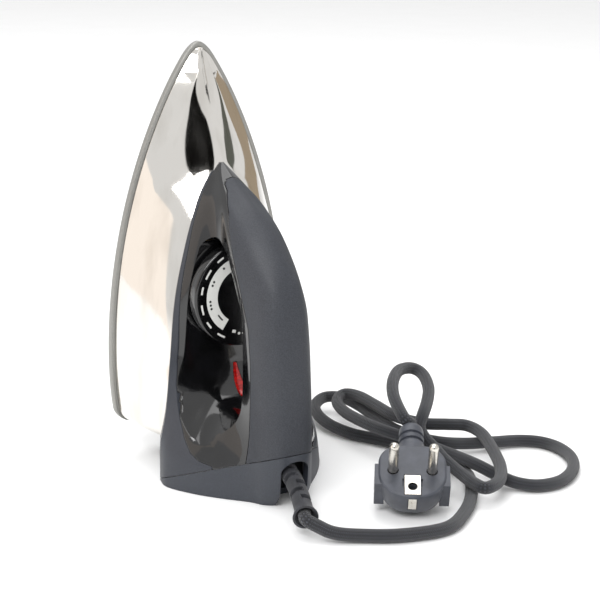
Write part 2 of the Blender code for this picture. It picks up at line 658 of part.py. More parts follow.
def build_fastenings():
    steel = material("stud_zinc", (0.66, 0.66, 0.64), 0.38, 1.0)
    plate_steel = material("plate_black_steel", (0.10, 0.10, 0.105), 0.6, 0.8)
    outline = []
    for z, w in ((44, 22), (60, 30), (100, 25), (130, 18), (156, 9), (160, 4)):
        outline.append((w * MM, z * MM))
    ring = outline + [(-w, z) for w, z in reversed(outline)]
    plate = loft("pressure_plate", [[at(w, level, z) for w, z in ring] for level in
                 (PLATE_LEVEL, PLATE_LEVEL + PLATE_THICK)], plate_steel)
    window = box("cut_plate_window", at(0, PLATE_LEVEL + 2 * MM, DIAL_STATION - 4 * MM),
                 (22 * MM, 12 * MM, 46 * MM))
    boolean(plate, window)
    for i, (station, name) in enumerate(zip(STUD_STATIONS, ("rear", "front"))):
        hole = rod(f"cut_plate_stud_{name}", at(0, PLATE_LEVEL - 4 * MM, station),
                   at(0, PLATE_LEVEL + 9 * MM, station), STUD_RADIUS + GAP)
        boolean(plate, hole)
        end = (39.5 if name == "rear" else 31) * MM
        rod(f"stud_{name}", at(0, 3 * MM, station), at(0, end, station), STUD_RADIUS, steel, 16)
        level = PLATE_LEVEL + PLATE_THICK + GAP
        nut = lathe(f"nut_{name}", at(0, level, station), Vector((0, -1, 0)),
                    [(0, 4.6 * MM), (4 * MM, 4.6 * MM)], steel, 6)
        bore = rod(f"cut_nut_{name}", at(0, level - MM, station), at(0, level + 6 * MM, station),
                   STUD_RADIUS + GAP, segments=16)
        boolean(nut, bore)


def build_terminals():
    cream = material("terminal_ceramic", (0.80, 0.77, 0.68), 0.6)
    zinc = material("screw_zinc", (0.68, 0.68, 0.66), 0.35, 1.0)
    block = box("terminal_block", at(0, 57 * MM, 22.5 * MM), (34 * MM, 11 * MM, 13 * MM), cream)
    for i, x in enumerate((-10.5, 0, 10.5)):
        well = rod(f"cut_terminal_{i}", at(x * MM, 57 * MM, 22 * MM), at(x * MM, 68 * MM, 22 * MM),
                   2.6 * MM)
        boolean(block, well)
        lathe(f"terminal_screw_{i + 1}", at(x * MM, 57 * MM + GAP, 22 * MM), Vector((0, -1, 0)),
              [(0, 2.1 * MM), (4.4 * MM, 2.1 * MM), (4.9 * MM, 1.7 * MM)], zinc, 12)
    clamp = material("clamp_grey", (0.20, 0.20, 0.21), 0.6)
    box("cord_clamp", at(0, 74.5 * MM, 21.5 * MM), (24 * MM, 6 * MM, 9 * MM), clamp)
    for side, name in ((-1, "left"), (1, "right")):
        lathe(f"clamp_screw_{name}", at(side * 8.5 * MM, 77.5 * MM + GAP, 21.5 * MM),
              Vector((0, -1, 0)), [(0, 2.6 * MM), (1.6 * MM, 2.6 * MM), (2.2 * MM, 2.0 * MM)],
              zinc, 14)
    lathe("heel_screw", at(0, 64 * MM, 1.4 * MM), Vector((0, 0, 1)),
          [(0, 3.1 * MM), (0.7 * MM, 3.1 * MM), (0.95 * MM, 1.5 * MM), (11 * MM, 1.5 * MM)],
          zinc, 16)


def build_wires():
    colours = {"wire_live": (0.30, 0.14, 0.07), "wire_neutral": (0.06, 0.16, 0.42),
               "wire_earth": (0.30, 0.42, 0.08)}
    ends = {"wire_live": (-10.5, [(-10.5, 50.5, 26), (-11, 44, 34), (-11, 36, 42), (-8, 29, 50),
                                  (-4.5, 26.5, 60)]),
            "wire_neutral": (10.5, [(10.5, 50.5, 26), (12, 44, 34), (14, 34, 36), (15, 25, 37),
                                    (15, 21, 37)]),
            "wire_earth": (0, [(0, 50.5, 26), (0, 44, 33), (2, 36, 37), (3, 28, 39),
                               (3, 21.5, 40)])}
    for name, (_, route) in ends.items():
        points = bend([at(x * MM, level * MM, z * MM) for x, level, z in route], 3)
        rubber = material(name, colours[name], 0.5)
        tube(name, points, [1.1 * MM] * len(points), rubber, 10)


def relief_route():
    points = [(0, 80.5, 20.5), (0, 90, 20), (-0.6, 100, 18.2), (-2.4, 111, 15.8),
              (-5.4, 122, 13.4), (-9.2, 132, 11.4), (-12.8, 140.5, 10.2)]
    return bend([at(x * MM, level * MM, z * MM) for x, level, z in points], 5)


def build_relief():
    rubber = material("relief_rubber", (0.055, 0.056, 0.062), 0.55)
    route = relief_route()
    last = len(route) - 1
    radii = []
    for i in range(len(route)):
        t = i / last
        radius = RELIEF_RADIUS + 0.3 * MM * (1 - t)
        if t < 0.10:
            radius = 7.0 * MM
        elif 0.28 < t < 0.84:
            radius -= 0.75 * MM * (i % 3 == 0)
        elif t > 0.88:
            radius += (BELL_RADIUS - RELIEF_RADIUS) * (t - 0.88) / 0.12
        radii.append(radius)
    relief = tube("strain_relief", route, radii, rubber, 20)
    end, ahead = route[-1], (route[-1] - route[-2]).normalized()
    mouth = lathe("cut_bell_mouth", end - ahead * BELL_DEPTH, ahead,
                  [(0, CORD_DIAMETER / 2 + 0.35 * MM), (BELL_DEPTH, BELL_RADIUS - 1.2 * MM),
                   (BELL_DEPTH + 4 * MM, BELL_RADIUS - 1.2 * MM)])
    boolean(relief, mouth)
    return end - ahead * (BELL_DEPTH - GAP), ahead


# ---------------------------------------------------------------- cord and plug

CORD_ROUTE = (
    (-9.5, 145.5, 7.2), (-3.5, 151.5, 4.6), (8, 158, 3.5), (25, 166.5, 3.4), (48, 170, 3.3),
    (67, 159, 3.3), (82.5, 143.5, 3.3), (94, 126, 3.3), (96.7, 112.7, 3.3), (95.5, 98.3, 3.3),
    (92.5, 84.1, 3.3), (87.8, 72, 3.3), (81, 60, 3.3), (72.5, 48, 3.6), (67.5, 34, 4.6),
    (67.5, 20, 5.8), (72.5, 8, 7), (82, 2.5, 8.4), (89, 10, 9.6), (90, 27.2, 10.2),
    (88, 47.5, 10.2), (87.5, 67, 10.2), (92, 82.5, 10), (101, 90.5, 8.4), (115.4, 93.5, 6),
    (133, 95.5, 4.2), (148, 99, 3.5), (157.5, 106, 3.3), (161, 117, 3.3), (158, 131, 3.3),
    (148, 144, 3.3), (133, 152.5, 3.3), (119, 152, 3.4), (110, 145, 4), (104, 136, 6.2),
    (98.5, 126, 9.2), (94, 112, 10.2), (89.5, 98, 10.8), (82.4, 86, 12.8), (75, 74, 14.4),
    (71.5, 59, 14.8), (71.5, 41, 14.4), (75.5, 26.5, 15), (83, 22, 16.6), (87, 31, 17.6),
    (87.5, 48, 17.6), (88.5, 66, 17.2), (96, 80, 16.6), (108.5, 85.5, 15.6), (118.5, 90, 14.6),
    (120.5, 101, 13.4), (115, 117.6, 11.6), (106, 136, 10.6), (95, 149.4, 10.2),
    (83.9, 153.6, 10), (81.4, 147.2, 10.2), (81.1, 138.4, 11.2), (80.4, 129.8, 13),
    (79.2, 122.6, 15.5), (77.9, 116.4, 19), (75, 112.1, 23.5), (73.9, 108.5, 28.5),
    (77.7, 105.8, 33.5), (85.3, 98.7, 37.5), (91.6, 90.6, 41), (95.4, 80.8, 44), (94.3, 74.9, 46),
    (89.7, 73, 47), (82.2, 75.4, 47), (73, 84.4, 45.5), (66.9, 94.1, 42.5), (63.9, 103.4, 39),
    (63.2, 110.4, 35.5))


def plug_frame():
    """Rows of the plug's own axes: along the pin line, towards the cord, out of the face."""
    turn = Matrix.Rotation(math.radians(PLUG_TURN), 3, "Z")
    lean = Matrix.Rotation(math.radians(PLUG_LEAN), 3, "X")
    return turn @ lean


PLUG_CENTRE = (46.5, 142.3, 22.6)


def plug_point(u, v, w):
    centre = at(*(value * MM for value in PLUG_CENTRE))
    return centre + plug_frame() @ Vector((u, v, w))


def neck_end():
    return plug_point(0, PLUG_FACE_HALF + NECK_LENGTH, -NECK_DEPTH)


def cord_points():
    start, ahead = relief_exit()
    points = [start, start + ahead * 6 * MM]
    rest = CORD_DIAMETER / 2 + 0.1 * MM
    points += [at(x * MM, level * MM, max(z * MM, rest)) for x, level, z in CORD_ROUTE]
    axis = plug_frame() @ Vector((0, 1, 0))
    tip = neck_end() + axis * GAP
    return points + [tip + axis * 3.6 * MM, tip]


def relief_exit():
    route = relief_route()
    ahead = (route[-1] - route[-2]).normalized()
    return route[-1] - ahead * (BELL_DEPTH - GAP), ahead


def build_cord():
    textile = material("cord_braid", (0.07, 0.07, 0.075), 0.8)
    points = cord_points()
    curve = bpy.data.curves.new("cord", "CURVE")
    curve.dimensions = "3D"
    curve.bevel_depth = CORD_DIAMETER / 2
    curve.bevel_resolution = 2
    curve.use_fill_caps = True
    spline = curve.splines.new("POLY")
    spline.points.add(len(points) - 1)
    for slot, p in zip(spline.points, points):
        slot.co = (*p, 1)
    cord = bpy.data.objects.new("cord", curve)
    curve.materials.append(textile)
    bpy.context.scene.collection.objects.link(cord)


def plug_section(w, half_u, near, far, near_corner, far_corner):
    """Rounded outline across the plug at a depth w, from near (front) to far (cord side)."""
    corners = [(half_u, near, near_corner), (half_u, far, far_corner),
               (-half_u, far, far_corner), (-half_u, near, near_corner)]
    return [plug_point(u, v, w) for u, v in rounded(corners, 6)]


def plug_box(name, centre, size, mat=None):
    """A box squared to the plug, at a (u, v, w) centre."""
    obj = box(name, Vector((0, 0, 0)), size, mat)
    obj.matrix_world = Matrix.Translation(plug_point(*centre)) @ plug_frame().to_4x4()
    return obj


def build_plug():
    rubber = material("plug_rubber", (0.085, 0.088, 0.098), 0.5)
    half, deep = PLUG_FACE_HALF, PLUG_DEPTH
    rings = [plug_section(-deep, half - 7 * MM, -half + 10 * MM, half - 1.5 * MM, 7 * MM, 4 * MM),
             plug_section(-deep + 3 * MM, half - 4 * MM, -half + 5.5 * MM, half, 10.5 * MM,
                          6 * MM),
             plug_section(-deep + 9 * MM, half - 1.2 * MM, -half + 1.4 * MM, half + MM, 13.5 * MM,
                          9 * MM),
             plug_section(-1.2 * MM, half, -half, half, 15 * MM, 11 * MM),
             plug_section(0, half - 0.8 * MM, -half + 0.8 * MM, half - 0.8 * MM, 14.2 * MM,
                          10.2 * MM)]
    body = loft("plug_body", rings, rubber)
    boolean(body, plug_neck(), "UNION")
    for side, name in ((-1, "left"), (1, "right")):
        guide = plug_box(f"cut_guide_{name}", (side * (half - 0.6 * MM), -2 * MM, -8.4 * MM),
                         (4.8 * MM, 13 * MM, 15 * MM))
        boolean(body, guide, "UNION")
        seat = rod(f"cut_pin_{name}", plug_point(side * PIN_SPACING / 2, 0, -6 * MM),
                   plug_point(side * PIN_SPACING / 2, 0, 3 * MM), PIN_RADIUS + GAP, segments=16)
        boolean(body, seat)
    build_pins()
    build_earth(body)


def plug_neck():
    """The neck's ribbed round body, wider where it leaves the plug."""
    axis = plug_frame() @ Vector((0, 1, 0))
    base = plug_point(0, PLUG_FACE_HALF - 8 * MM, -NECK_DEPTH)
    end = 8 * MM + NECK_LENGTH
    profile = [(0, 7.6 * MM), (8.5 * MM, 7.4 * MM), (11 * MM, 6.6 * MM)]
    for k in range(2):
        start = end - (11.5 - 4 * k) * MM
        profile += [(start, 6.4 * MM), (start + 0.3 * MM, 5.3 * MM), (start + 1.7 * MM, 5.3 * MM),
                    (start + 2 * MM, 6.3 * MM)]
    profile += [(end - 1.5 * MM, 6.2 * MM), (end, 5.4 * MM)]
    return lathe("cut_plug_neck", base, axis, profile, segments=20)


def build_pins():
    nickel = material("plug_nickel", (0.80, 0.76, 0.70), 0.25, 1.0)
    out, foot = plug_frame() @ Vector((0, 0, 1)), 5.6 * MM
    for side, name in ((-1, "left"), (1, "right")):
        lathe(f"plug_pin_{name}", plug_point(side * PIN_SPACING / 2, 0, -foot), out,
              [(0, PIN_RADIUS), (foot + PIN_LENGTH - 1.8 * MM, PIN_RADIUS),
               (foot + PIN_LENGTH - 0.6 * MM, PIN_RADIUS - 0.6 * MM),
               (foot + PIN_LENGTH, PIN_RADIUS - 1.6 * MM)], nickel, 16)


def build_earth(body):
    """Earth plate round its hole in the face, and the contact strip down the front side."""
    nickel = material("plug_nickel", (0.80, 0.76, 0.70), 0.25, 1.0)
    width, height, thick = EARTH_PLATE
    room = 2 * GAP
    pocket = plug_box("cut_earth_pocket", (0, -EARTH_OFFSET + MM, 0),
                      (width + room, height + room, 2 * thick + room))
    boolean(body, pocket)
    plate = plug_box("plug_earth_plate", (0, -EARTH_OFFSET + MM, -thick / 2 + 0.1 * MM),
                     (width, height, thick), nickel)
    bore = rod("cut_plate_bore", plug_point(0, -EARTH_OFFSET, -3 * MM),
               plug_point(0, -EARTH_OFFSET, 3 * MM), EARTH_HOLE, segments=20)
    boolean(plate, bore)
    well = rod("cut_plug_earth", plug_point(0, -EARTH_OFFSET, -9 * MM),
               plug_point(0, -EARTH_OFFSET, 3 * MM), EARTH_HOLE, segments=16)
    boolean(body, well)
    front = -PLUG_FACE_HALF
    channel = plug_box("cut_earth_channel", (0, front, -6.2 * MM),
                       (3.9 * MM + room, 3.4 * MM, 9 * MM))
    boolean(body, channel)
    plug_box("plug_earth_clip", (0, front + 0.75 * MM, -5.8 * MM), (3.9 * MM, 1.0 * MM, 7.4 * MM),
             nickel)


def main():
    for obj in list(bpy.data.objects):
        bpy.data.objects.remove(obj, do_unlink=True)
    build_soleplate()
    build_element()
    build_cover()
    hollow, opening, envelope = shared_cutters()
    build_body(hollow, opening, envelope)
    build_dial()
    build_pilot_light()
    build_thermostat()
    build_fastenings()
    build_terminals()
    build_wires()
    build_relief()
    build_cord()
    build_plug()


main()
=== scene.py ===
"""Looks of a dry clothes iron standing on its heel, with its cord and plug laid beside it.

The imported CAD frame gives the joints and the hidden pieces. Every piece that shows is
rebuilt here at a finer pitch, in the same row frame: +Z from heel to tip, +Y out of the
soleplate's face, origin on the table. A station is a height above the heel, and a level is
a distance from the soleplate's face towards the handle.
"""
import logging
import math
from dataclasses import dataclass, field
from enum import Enum
from typing import Any, Callable, Dict, List, Optional, Sequence, Tuple

import bmesh
import bpy
from mathutils import Matrix, Vector


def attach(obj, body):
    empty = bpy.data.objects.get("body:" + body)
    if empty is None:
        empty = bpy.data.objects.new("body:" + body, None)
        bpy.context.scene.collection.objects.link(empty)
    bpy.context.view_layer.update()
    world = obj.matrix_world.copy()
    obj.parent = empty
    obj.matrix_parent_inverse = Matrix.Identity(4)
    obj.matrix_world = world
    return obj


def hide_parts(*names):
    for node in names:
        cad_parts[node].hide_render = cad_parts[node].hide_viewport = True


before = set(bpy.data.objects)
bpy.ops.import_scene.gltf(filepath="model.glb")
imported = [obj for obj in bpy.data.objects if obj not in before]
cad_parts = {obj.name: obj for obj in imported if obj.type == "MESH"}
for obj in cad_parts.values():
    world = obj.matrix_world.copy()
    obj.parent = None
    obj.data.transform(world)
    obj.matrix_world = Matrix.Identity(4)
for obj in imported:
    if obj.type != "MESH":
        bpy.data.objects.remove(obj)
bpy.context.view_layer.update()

LOG = logging.getLogger("iron")
MM = 0.001
IRON_HEIGHT = 110 * MM
GAP = 0.35 * MM
Rail = Tuple[Tuple[float, ...], ...]
Ring = List[Vector]


class Body(Enum):
    """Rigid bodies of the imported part."""

    IRON = "iron"
    DIAL = "dial"


# ------------------------------------------------------------------ geometry helpers


def at(x: float, level: float, station: float) -> Vector:
    """World place of a point.

    Args:
        x: distance to the iron's right.
        level: distance from the soleplate's face.
        station: height above the heel.
    Returns:
        The point in the row frame, in metres.
    """
    return Vector((x, IRON_HEIGHT / 2 - level, station))


def in_mm(*rail: Tuple[float, ...]) -> Rail:
    """Returns the rail's points turned from millimetres into metres."""
    return tuple(tuple(value * MM for value in point) for point in rail)


def smooth(rail: Rail, z: float) -> Tuple[float, ...]:
    """Monotone cubic through a rail.

    Args:
        rail: (z, value, ...) points in rising z.
        z: where to read it.
    Returns:
        The values at z.
    """
    if z <= rail[0][0]:
        return rail[0][1:]
    if z >= rail[-1][0]:
        return rail[-1][1:]
    i = max(k for k in range(len(rail) - 1) if rail[k][0] <= z)
    (z0, *a), (z1, *b) = rail[i], rail[i + 1]
    step, t = z1 - z0, (z - z0) / (z1 - z0)
    out = []
    for k in range(len(a)):
        slope = (b[k] - a[k]) / step
        m = []
        for j in (i, i + 1):
            if 0 < j < len(rail) - 1:
                before = (rail[j][k + 1] - rail[j - 1][k + 1]) / (rail[j][0] - rail[j - 1][0])
                after = (rail[j + 1][k + 1] - rail[j][k + 1]) / (rail[j + 1][0] - rail[j][0])
                both = before * after
                m.append(2 * both / (before + after) if both > 0 else 0.0)
            else:
                m.append(slope)
        out.append((2 * t**3 - 3 * t**2 + 1) * a[k] + (t**3 - 2 * t**2 + t) * step * m[0]
                   + (3 * t**2 - 2 * t**3) * b[k] + (t**3 - t**2) * step * m[1])
    return tuple(out)


def through(points: Sequence[Vector], steps: int) -> List[Vector]:
    """Catmull-Rom points.

    Args:
        points: places that the line passes through.
        steps: points made for each stretch.
    Returns:
        The finer line, ends included.
    """
    out = []
    for i in range(len(points) - 1):
        p0, p1 = points[max(i - 1, 0)], points[i]
        p2, p3 = points[i + 1], points[min(i + 2, len(points) - 1)]
        for k in range(steps):
            t = k / steps
            out.append(0.5 * (2 * p1 + (p2 - p0) * t + (2 * p0 - 5 * p1 + 4 * p2 - p3) * t**2
                              + (3 * p1 - p0 - 3 * p2 + p3) * t**3))
    return out + [points[-1]]


def evenly(points: Sequence[Vector], pitch: float) -> List[Vector]:
    """Returns points spaced by about pitch along the line through the given ones."""
    lengths = [0.0]
    for a, b in zip(points, points[1:]):
        lengths.append(lengths[-1] + (b - a).length)
    count = max(2, round(lengths[-1] / pitch))
    out, i = [], 0
    for k in range(count + 1):
        want = lengths[-1] * k / count
        while i < len(points) - 2 and lengths[i + 1] < want:
            i += 1
        span = lengths[i + 1] - lengths[i]
        out.append(points[i].lerp(points[i + 1], (want - lengths[i]) / span if span else 0))
    return out


def rounded(corners: Sequence[Tuple[float, float, float]], steps: int) -> List[Tuple[float, float]]:
    """Returns a polygon of (a, b, radius) corners with each corner rounded by an arc."""
    out: List[Tuple[float, float]] = []
    for i, (a, b, radius) in enumerate(corners):
        here = Vector((a, b))
        before = (Vector(corners[i - 1][:2]) - here).normalized()
        after = (Vector(corners[(i + 1) % len(corners)][:2]) - here).normalized()
        half = math.acos(max(-1, min(1, before.dot(after)))) / 2
        centre = here + (before + after).normalized() * radius / math.sin(half)
        start = here + before * radius / math.tan(half) - centre
        end = here + after * radius / math.tan(half) - centre
        sweep = start.angle_signed(end)
        for k in range(steps + 1):
            out.append(tuple(centre + Matrix.Rotation(-sweep * k / steps, 2) @ start))
    return out


def side_of(direction: Vector) -> Vector:
    """Returns a unit vector square to the direction."""
    side = direction.cross(Vector((0, 0, 1)))
    return side.normalized() if side.length > 1e-3 else Vector((1, 0, 0))


def circle(centre: Vector, axis: Vector, radius: float, count: int) -> Ring:
    """Returns count points round a circle square to the axis."""
    axis = axis.normalized()
    u = side_of(axis)
    v = u.cross(axis)
    return [centre + radius * (math.cos(a) * u + math.sin(a) * v)
            for a in (2 * math.pi * k / count for k in range(count))]


def link(name: str, mesh: bpy.types.Mesh) -> bpy.types.Object:
    """Returns a new object of the mesh, linked to the scene."""
    obj = bpy.data.objects.new(name, mesh)
    bpy.context.scene.collection.objects.link(obj)
    return obj


def solid(name: str, bm: bmesh.types.BMesh, split: bool = False) -> bpy.types.Object:
    """Turns a bmesh into an object.

    Args:
        name: the object's name.
        bm: its faces; it is freed.
        split: make triangles, for a piece that a Boolean works on.
    Returns:
        The object.
    """
    if split:
        bmesh.ops.triangulate(bm, faces=bm.faces)
    bmesh.ops.recalc_face_normals(bm, faces=bm.faces)
    mesh = bpy.data.meshes.new(name)
    bm.to_mesh(mesh)
    bm.free()
    return link(name, mesh)


def loft(name: str, rings: Sequence[Ring], split: bool = False) -> bpy.types.Object:
    """Returns a capped skin through rings of equal count."""
    bm = bmesh.new()
    rows = [[bm.verts.new(p) for p in ring] for ring in rings]
    count = len(rows[0])
    for low, high in zip(rows, rows[1:]):
        for k in range(count):
            n = (k + 1) % count
            bm.faces.new((low[k], low[n], high[n], high[k]))
    bm.faces.new(list(reversed(rows[0])))
    bm.faces.new(rows[-1])
    return solid(name, bm, split)


def prism(name: str, outline: Sequence[Tuple[float, float]], half: float) -> bpy.types.Object:
    """Returns a (station, level) outline carried along X from -half to half."""
    return loft(name, [[at(x, level, station) for station, level in outline]
                       for x in (-half, half)], split=True)


def lathe(name: str, base: Vector, axis: Vector, profile: Sequence[Tuple[float, float]],
          count: int = 48, split: bool = False) -> bpy.types.Object:
    """Returns a solid of revolution of (distance along axis, radius) pairs."""
    axis = axis.normalized()
    return loft(name, [circle(base + axis * d, axis, r, count) for d, r in profile], split)


def box(name: str, place: Matrix, size: Tuple[float, float, float]) -> bpy.types.Object:
    """Returns a box of that size at a place, with the place applied to its points."""
    bm = bmesh.new()
    bmesh.ops.create_cube(bm, size=1)
    bmesh.ops.scale(bm, vec=size, verts=bm.verts)
    bmesh.ops.transform(bm, matrix=place, verts=bm.verts)
    return solid(name, bm, split=True)


def tube(name: str, points: Sequence[Vector], radius: Callable[[float, float], float],
         count: int) -> bpy.types.Object:
    """Round skin along a line, with UVs that run round it and along it.

    Args:
        name: the object's name.
        points: the centreline.
        radius: gives the radius at (share of the length, angle round it).
        count: points round it.
    Returns:
        The object. Its UV is (share round, length along in millimetres).
    """
    bm = bmesh.new()
    layer = bm.loops.layers.uv.new("along")
    rows, runs, side, run = [], [], None, 0.0
    for i, p in enumerate(points):
        ahead = (points[min(i + 1, len(points) - 1)] - points[max(i - 1, 0)]).normalized()
        side = side_of(ahead) if side is None else side
        side = (side - ahead * side.dot(ahead)).normalized()
        up = side.cross(ahead)
        run += (p - points[i - 1]).length if i else 0.0
        runs.append(run)
        share = i / (len(points) - 1)
        rows.append([bm.verts.new(p + radius(share, a) * (math.cos(a) * side + math.sin(a) * up))
                     for a in (2 * math.pi * k / count for k in range(count))])
    for i in range(len(rows) - 1):
        for k in range(count):
            n = (k + 1) % count
            face = bm.faces.new((rows[i][k], rows[i][n], rows[i + 1][n], rows[i + 1][k]))
            for loop, (u, v) in zip(face.loops, ((k, i), (k + 1, i), (k + 1, i + 1), (k, i + 1))):
                loop[layer].uv = (u / count, runs[v] / MM)
    bm.faces.new(list(reversed(rows[0])))
    bm.faces.new(rows[-1])
    return solid(name, bm)


def cut(obj: bpy.types.Object, others: Sequence[Tuple[bpy.types.Object, str]]) -> bpy.types.Object:
    """Applies Booleans to an object.

    Args:
        obj: the object.
        others: (object, operation) pairs, in order.
    Returns:
        The same object with the finished mesh.
    """
    for other, operation in others:
        modifier = obj.modifiers.new(other.name, "BOOLEAN")
        modifier.operation, modifier.solver, modifier.object = operation, "EXACT", other
    graph = bpy.context.evaluated_depsgraph_get()
    graph.update()
    mesh = bpy.data.meshes.new_from_object(obj.evaluated_get(graph), depsgraph=graph)
    obj.modifiers.clear()
    obj.data = mesh
    return obj


def soften(obj: bpy.types.Object, angle: float = 32.0) -> bpy.types.Object:
    """Shades an object smooth, but for edges sharper than the angle in degrees."""
    for polygon in obj.data.polygons:
        polygon.use_smooth = True
    obj.data.set_sharp_from_angle(angle=math.radians(angle))
    return obj


def discard(*objs: bpy.types.Object) -> None:
    """Removes helpers."""
    for obj in objs:
        bpy.data.objects.remove(obj, do_unlink=True)


# ------------------------------------------------------------------ finishes


def linear(hex_colour: str) -> Tuple[float, float, float, float]:
    """Returns an sRGB hex colour as a linear RGBA."""
    parts = [int(hex_colour[i:i + 2], 16) / 255 for i in (1, 3, 5)]
    return (*[c / 12.92 if c <= 0.04045 else ((c + 0.055) / 1.055) ** 2.4 for c in parts], 1.0)


class Graph:
    """A material's node graph."""

    def __init__(self, name: str) -> None:
        self.material = bpy.data.materials.new(name)
        self.material.use_nodes = True
        self.tree = self.material.node_tree
        self.shader = self.tree.nodes["Principled BSDF"]

    def add(self, kind: str, inputs: Optional[Dict[Any, Any]] = None, **settings: Any) -> Any:
        """Adds a node.

        Args:
            kind: the node's type, without ShaderNode.
            inputs: input name or number to a value or an output socket.
            settings: attributes of the node.
        Returns:
            The node.
        """
        node = self.tree.nodes.new("ShaderNode" + kind)
        for key, value in settings.items():
            setattr(node, key, value)
        for key, value in (inputs or {}).items():
            self.feed(node.inputs[key], value)
        return node

    def feed(self, socket: Any, value: Any) -> None:
        """Links an output to the socket, or sets the socket's value."""
        if isinstance(value, bpy.types.NodeSocket):
            self.tree.links.new(value, socket)
        else:
            socket.default_value = value

    def set(self, **values: Any) -> None:
        """Sets the shader's inputs; an underscore stands for a space."""
        for key, value in values.items():
            self.feed(self.shader.inputs[key.replace("_", " ")], value)

    def math(self, operation: str, a: Any, b: Any = 0.0) -> Any:
        """Returns the output of a Math node."""
        return self.add("Math", {0: a, 1: b}, operation=operation).outputs[0]

    def place(self) -> Any:
        """Returns the row frame's coordinates in metres."""
        return self.add("TexCoord").outputs["Object"]

    def noise(self, size_mm: float, detail: float = 2.0, stretch: Tuple[float, ...] = (1, 1, 1)) -> Any:
        """Returns noise with features of about that size in millimetres."""
        mapping = self.add("Mapping", {"Vector": self.place(), "Scale": stretch})
        return self.add("TexNoise", {"Vector": mapping.outputs[0], "Scale": 1000 / size_mm,
                                     "Detail": detail}).outputs["Fac"]

    def ramp(self, value: Any, low: float, high: float, start: float, end: float) -> Any:
        """Returns value moved from low..high to start..end."""
        return self.add("MapRange", {"Value": value, "From Min": low, "From Max": high,
                                     "To Min": start, "To Max": end}).outputs["Result"]

    def mix(self, factor: Any, a: str, b: str) -> Any:
        """Returns two sRGB hex colours mixed by the factor."""
        node = self.add("Mix", {"Factor": factor}, data_type="RGBA")
        node.inputs[6].default_value, node.inputs[7].default_value = linear(a), linear(b)
        return node.outputs[2]

    def relief(self, height: Any, depth_mm: float, edge_mm: float = 0.0) -> Any:
        """Returns a normal from a height, over edges rounded by edge_mm."""
        inputs = {"Height": height, "Strength": 1.0, "Distance": depth_mm * MM}
        if edge_mm:
            inputs["Normal"] = self.add("Bevel", {"Radius": edge_mm * MM}, samples=4).outputs[0]
        return self.add("Bump", inputs).outputs[0]


@dataclass(frozen=True)
class Moulded:
    """Moulded plastic: flow and grain from the tool, corners as the tool leaves them."""

    name: str
    dark: str
    light: str
    roughness: float
    grain_mm: float
    grain_depth: float
    edge_mm: float = 0.5
    coat: float = 0.0

    def make(self) -> bpy.types.Material:
        """Returns the material."""
        g = Graph(self.name)
        grain = g.noise(self.grain_mm, 3.0)
        broad = g.noise(26.0, 2.0)
        g.set(Base_Color=g.mix(g.ramp(grain, 0.35, 0.65, 0.0, 1.0), self.dark, self.light),
              Roughness=g.ramp(broad, 0.3, 0.7, self.roughness * 0.88, self.roughness * 1.12),
              Normal=g.relief(grain, self.grain_depth, self.edge_mm), Coat_Weight=self.coat,
              Coat_Roughness=0.04)
        return g.material


@dataclass(frozen=True)
class PolishedSteel:
    """Buffed and nickel-chromed sheet: pressed waviness bends reflections, wiping dulls it."""

    name: str
    colour: str
    worn: str
    roughness: float
    wave_mm: float = 34.0
    wave_depth: float = 0.05

    def make(self) -> bpy.types.Material:
        """Returns the material."""
        g = Graph(self.name)
        wave = g.noise(self.wave_mm, 1.0, (1.0, 1.0, 0.55))
        wipe = g.noise(9.0, 3.0, (1.0, 1.0, 0.2))
        scratch = g.noise(0.35, 1.0, (1.0, 1.0, 0.04))
        height = g.math("ADD", wave, g.math("MULTIPLY", scratch, 0.006))
        g.set(Base_Color=g.mix(g.ramp(wipe, 0.45, 0.75, 0.0, 0.6), self.colour, self.worn),
              Metallic=1.0, Roughness=g.ramp(wipe, 0.4, 0.8, self.roughness, self.roughness * 1.8),
              Normal=g.relief(height, self.wave_depth, 0.5))
        return g.material


@dataclass(frozen=True)
class CastAluminium:
    """Die-cast aluminium with a linished face: matt grey skin, fine machining lines."""

    name: str
    dark: str
    light: str
    roughness: float

    def make(self) -> bpy.types.Material:
        """Returns the material."""
        g = Graph(self.name)
        skin = g.noise(0.9, 4.0)
        lines = g.noise(0.5, 2.0, (1.0, 1.0, 0.05))
        g.set(Base_Color=g.mix(skin, self.dark, self.light), Metallic=0.75,
              Roughness=g.ramp(skin, 0.3, 0.7, self.roughness * 0.9, self.roughness * 1.15),
              Normal=g.relief(g.math("ADD", skin, lines), 0.03, 0.35))
        return g.material


@dataclass(frozen=True)
class Plated:
    """Plated or bare small metal parts: drawing marks along them, slight tarnish."""

    name: str
    colour: str
    tarnish: str
    roughness: float

    def make(self) -> bpy.types.Material:
        """Returns the material."""
        g = Graph(self.name)
        cloud = g.noise(3.0, 3.0)
        marks = g.noise(0.25, 1.0, (1.0, 1.0, 0.1))
        g.set(Base_Color=g.mix(g.ramp(cloud, 0.4, 0.8, 0.0, 0.8), self.colour, self.tarnish),
              Metallic=1.0, Roughness=g.ramp(cloud, 0.3, 0.7, self.roughness, self.roughness * 1.4),
              Normal=g.relief(marks, 0.01, 0.15))
        return g.material


@dataclass(frozen=True)
class Rubber:
    """Moulded PVC or rubber: dusty matt skin with a soft sheen at the edges."""

    name: str
    dark: str
    light: str
    roughness: float

    def make(self) -> bpy.types.Material:
        """Returns the material."""
        g = Graph(self.name)
        dust, grain = g.noise(5.0, 4.0), g.noise(0.35, 2.0)
        g.set(Base_Color=g.mix(g.ramp(dust, 0.4, 0.75, 0.0, 1.0), self.dark, self.light),
              Roughness=g.ramp(dust, 0.3, 0.7, self.roughness * 0.9, self.roughness * 1.1),
              Sheen_Weight=0.08, Normal=g.relief(grain, 0.02, 0.4))
        return g.material


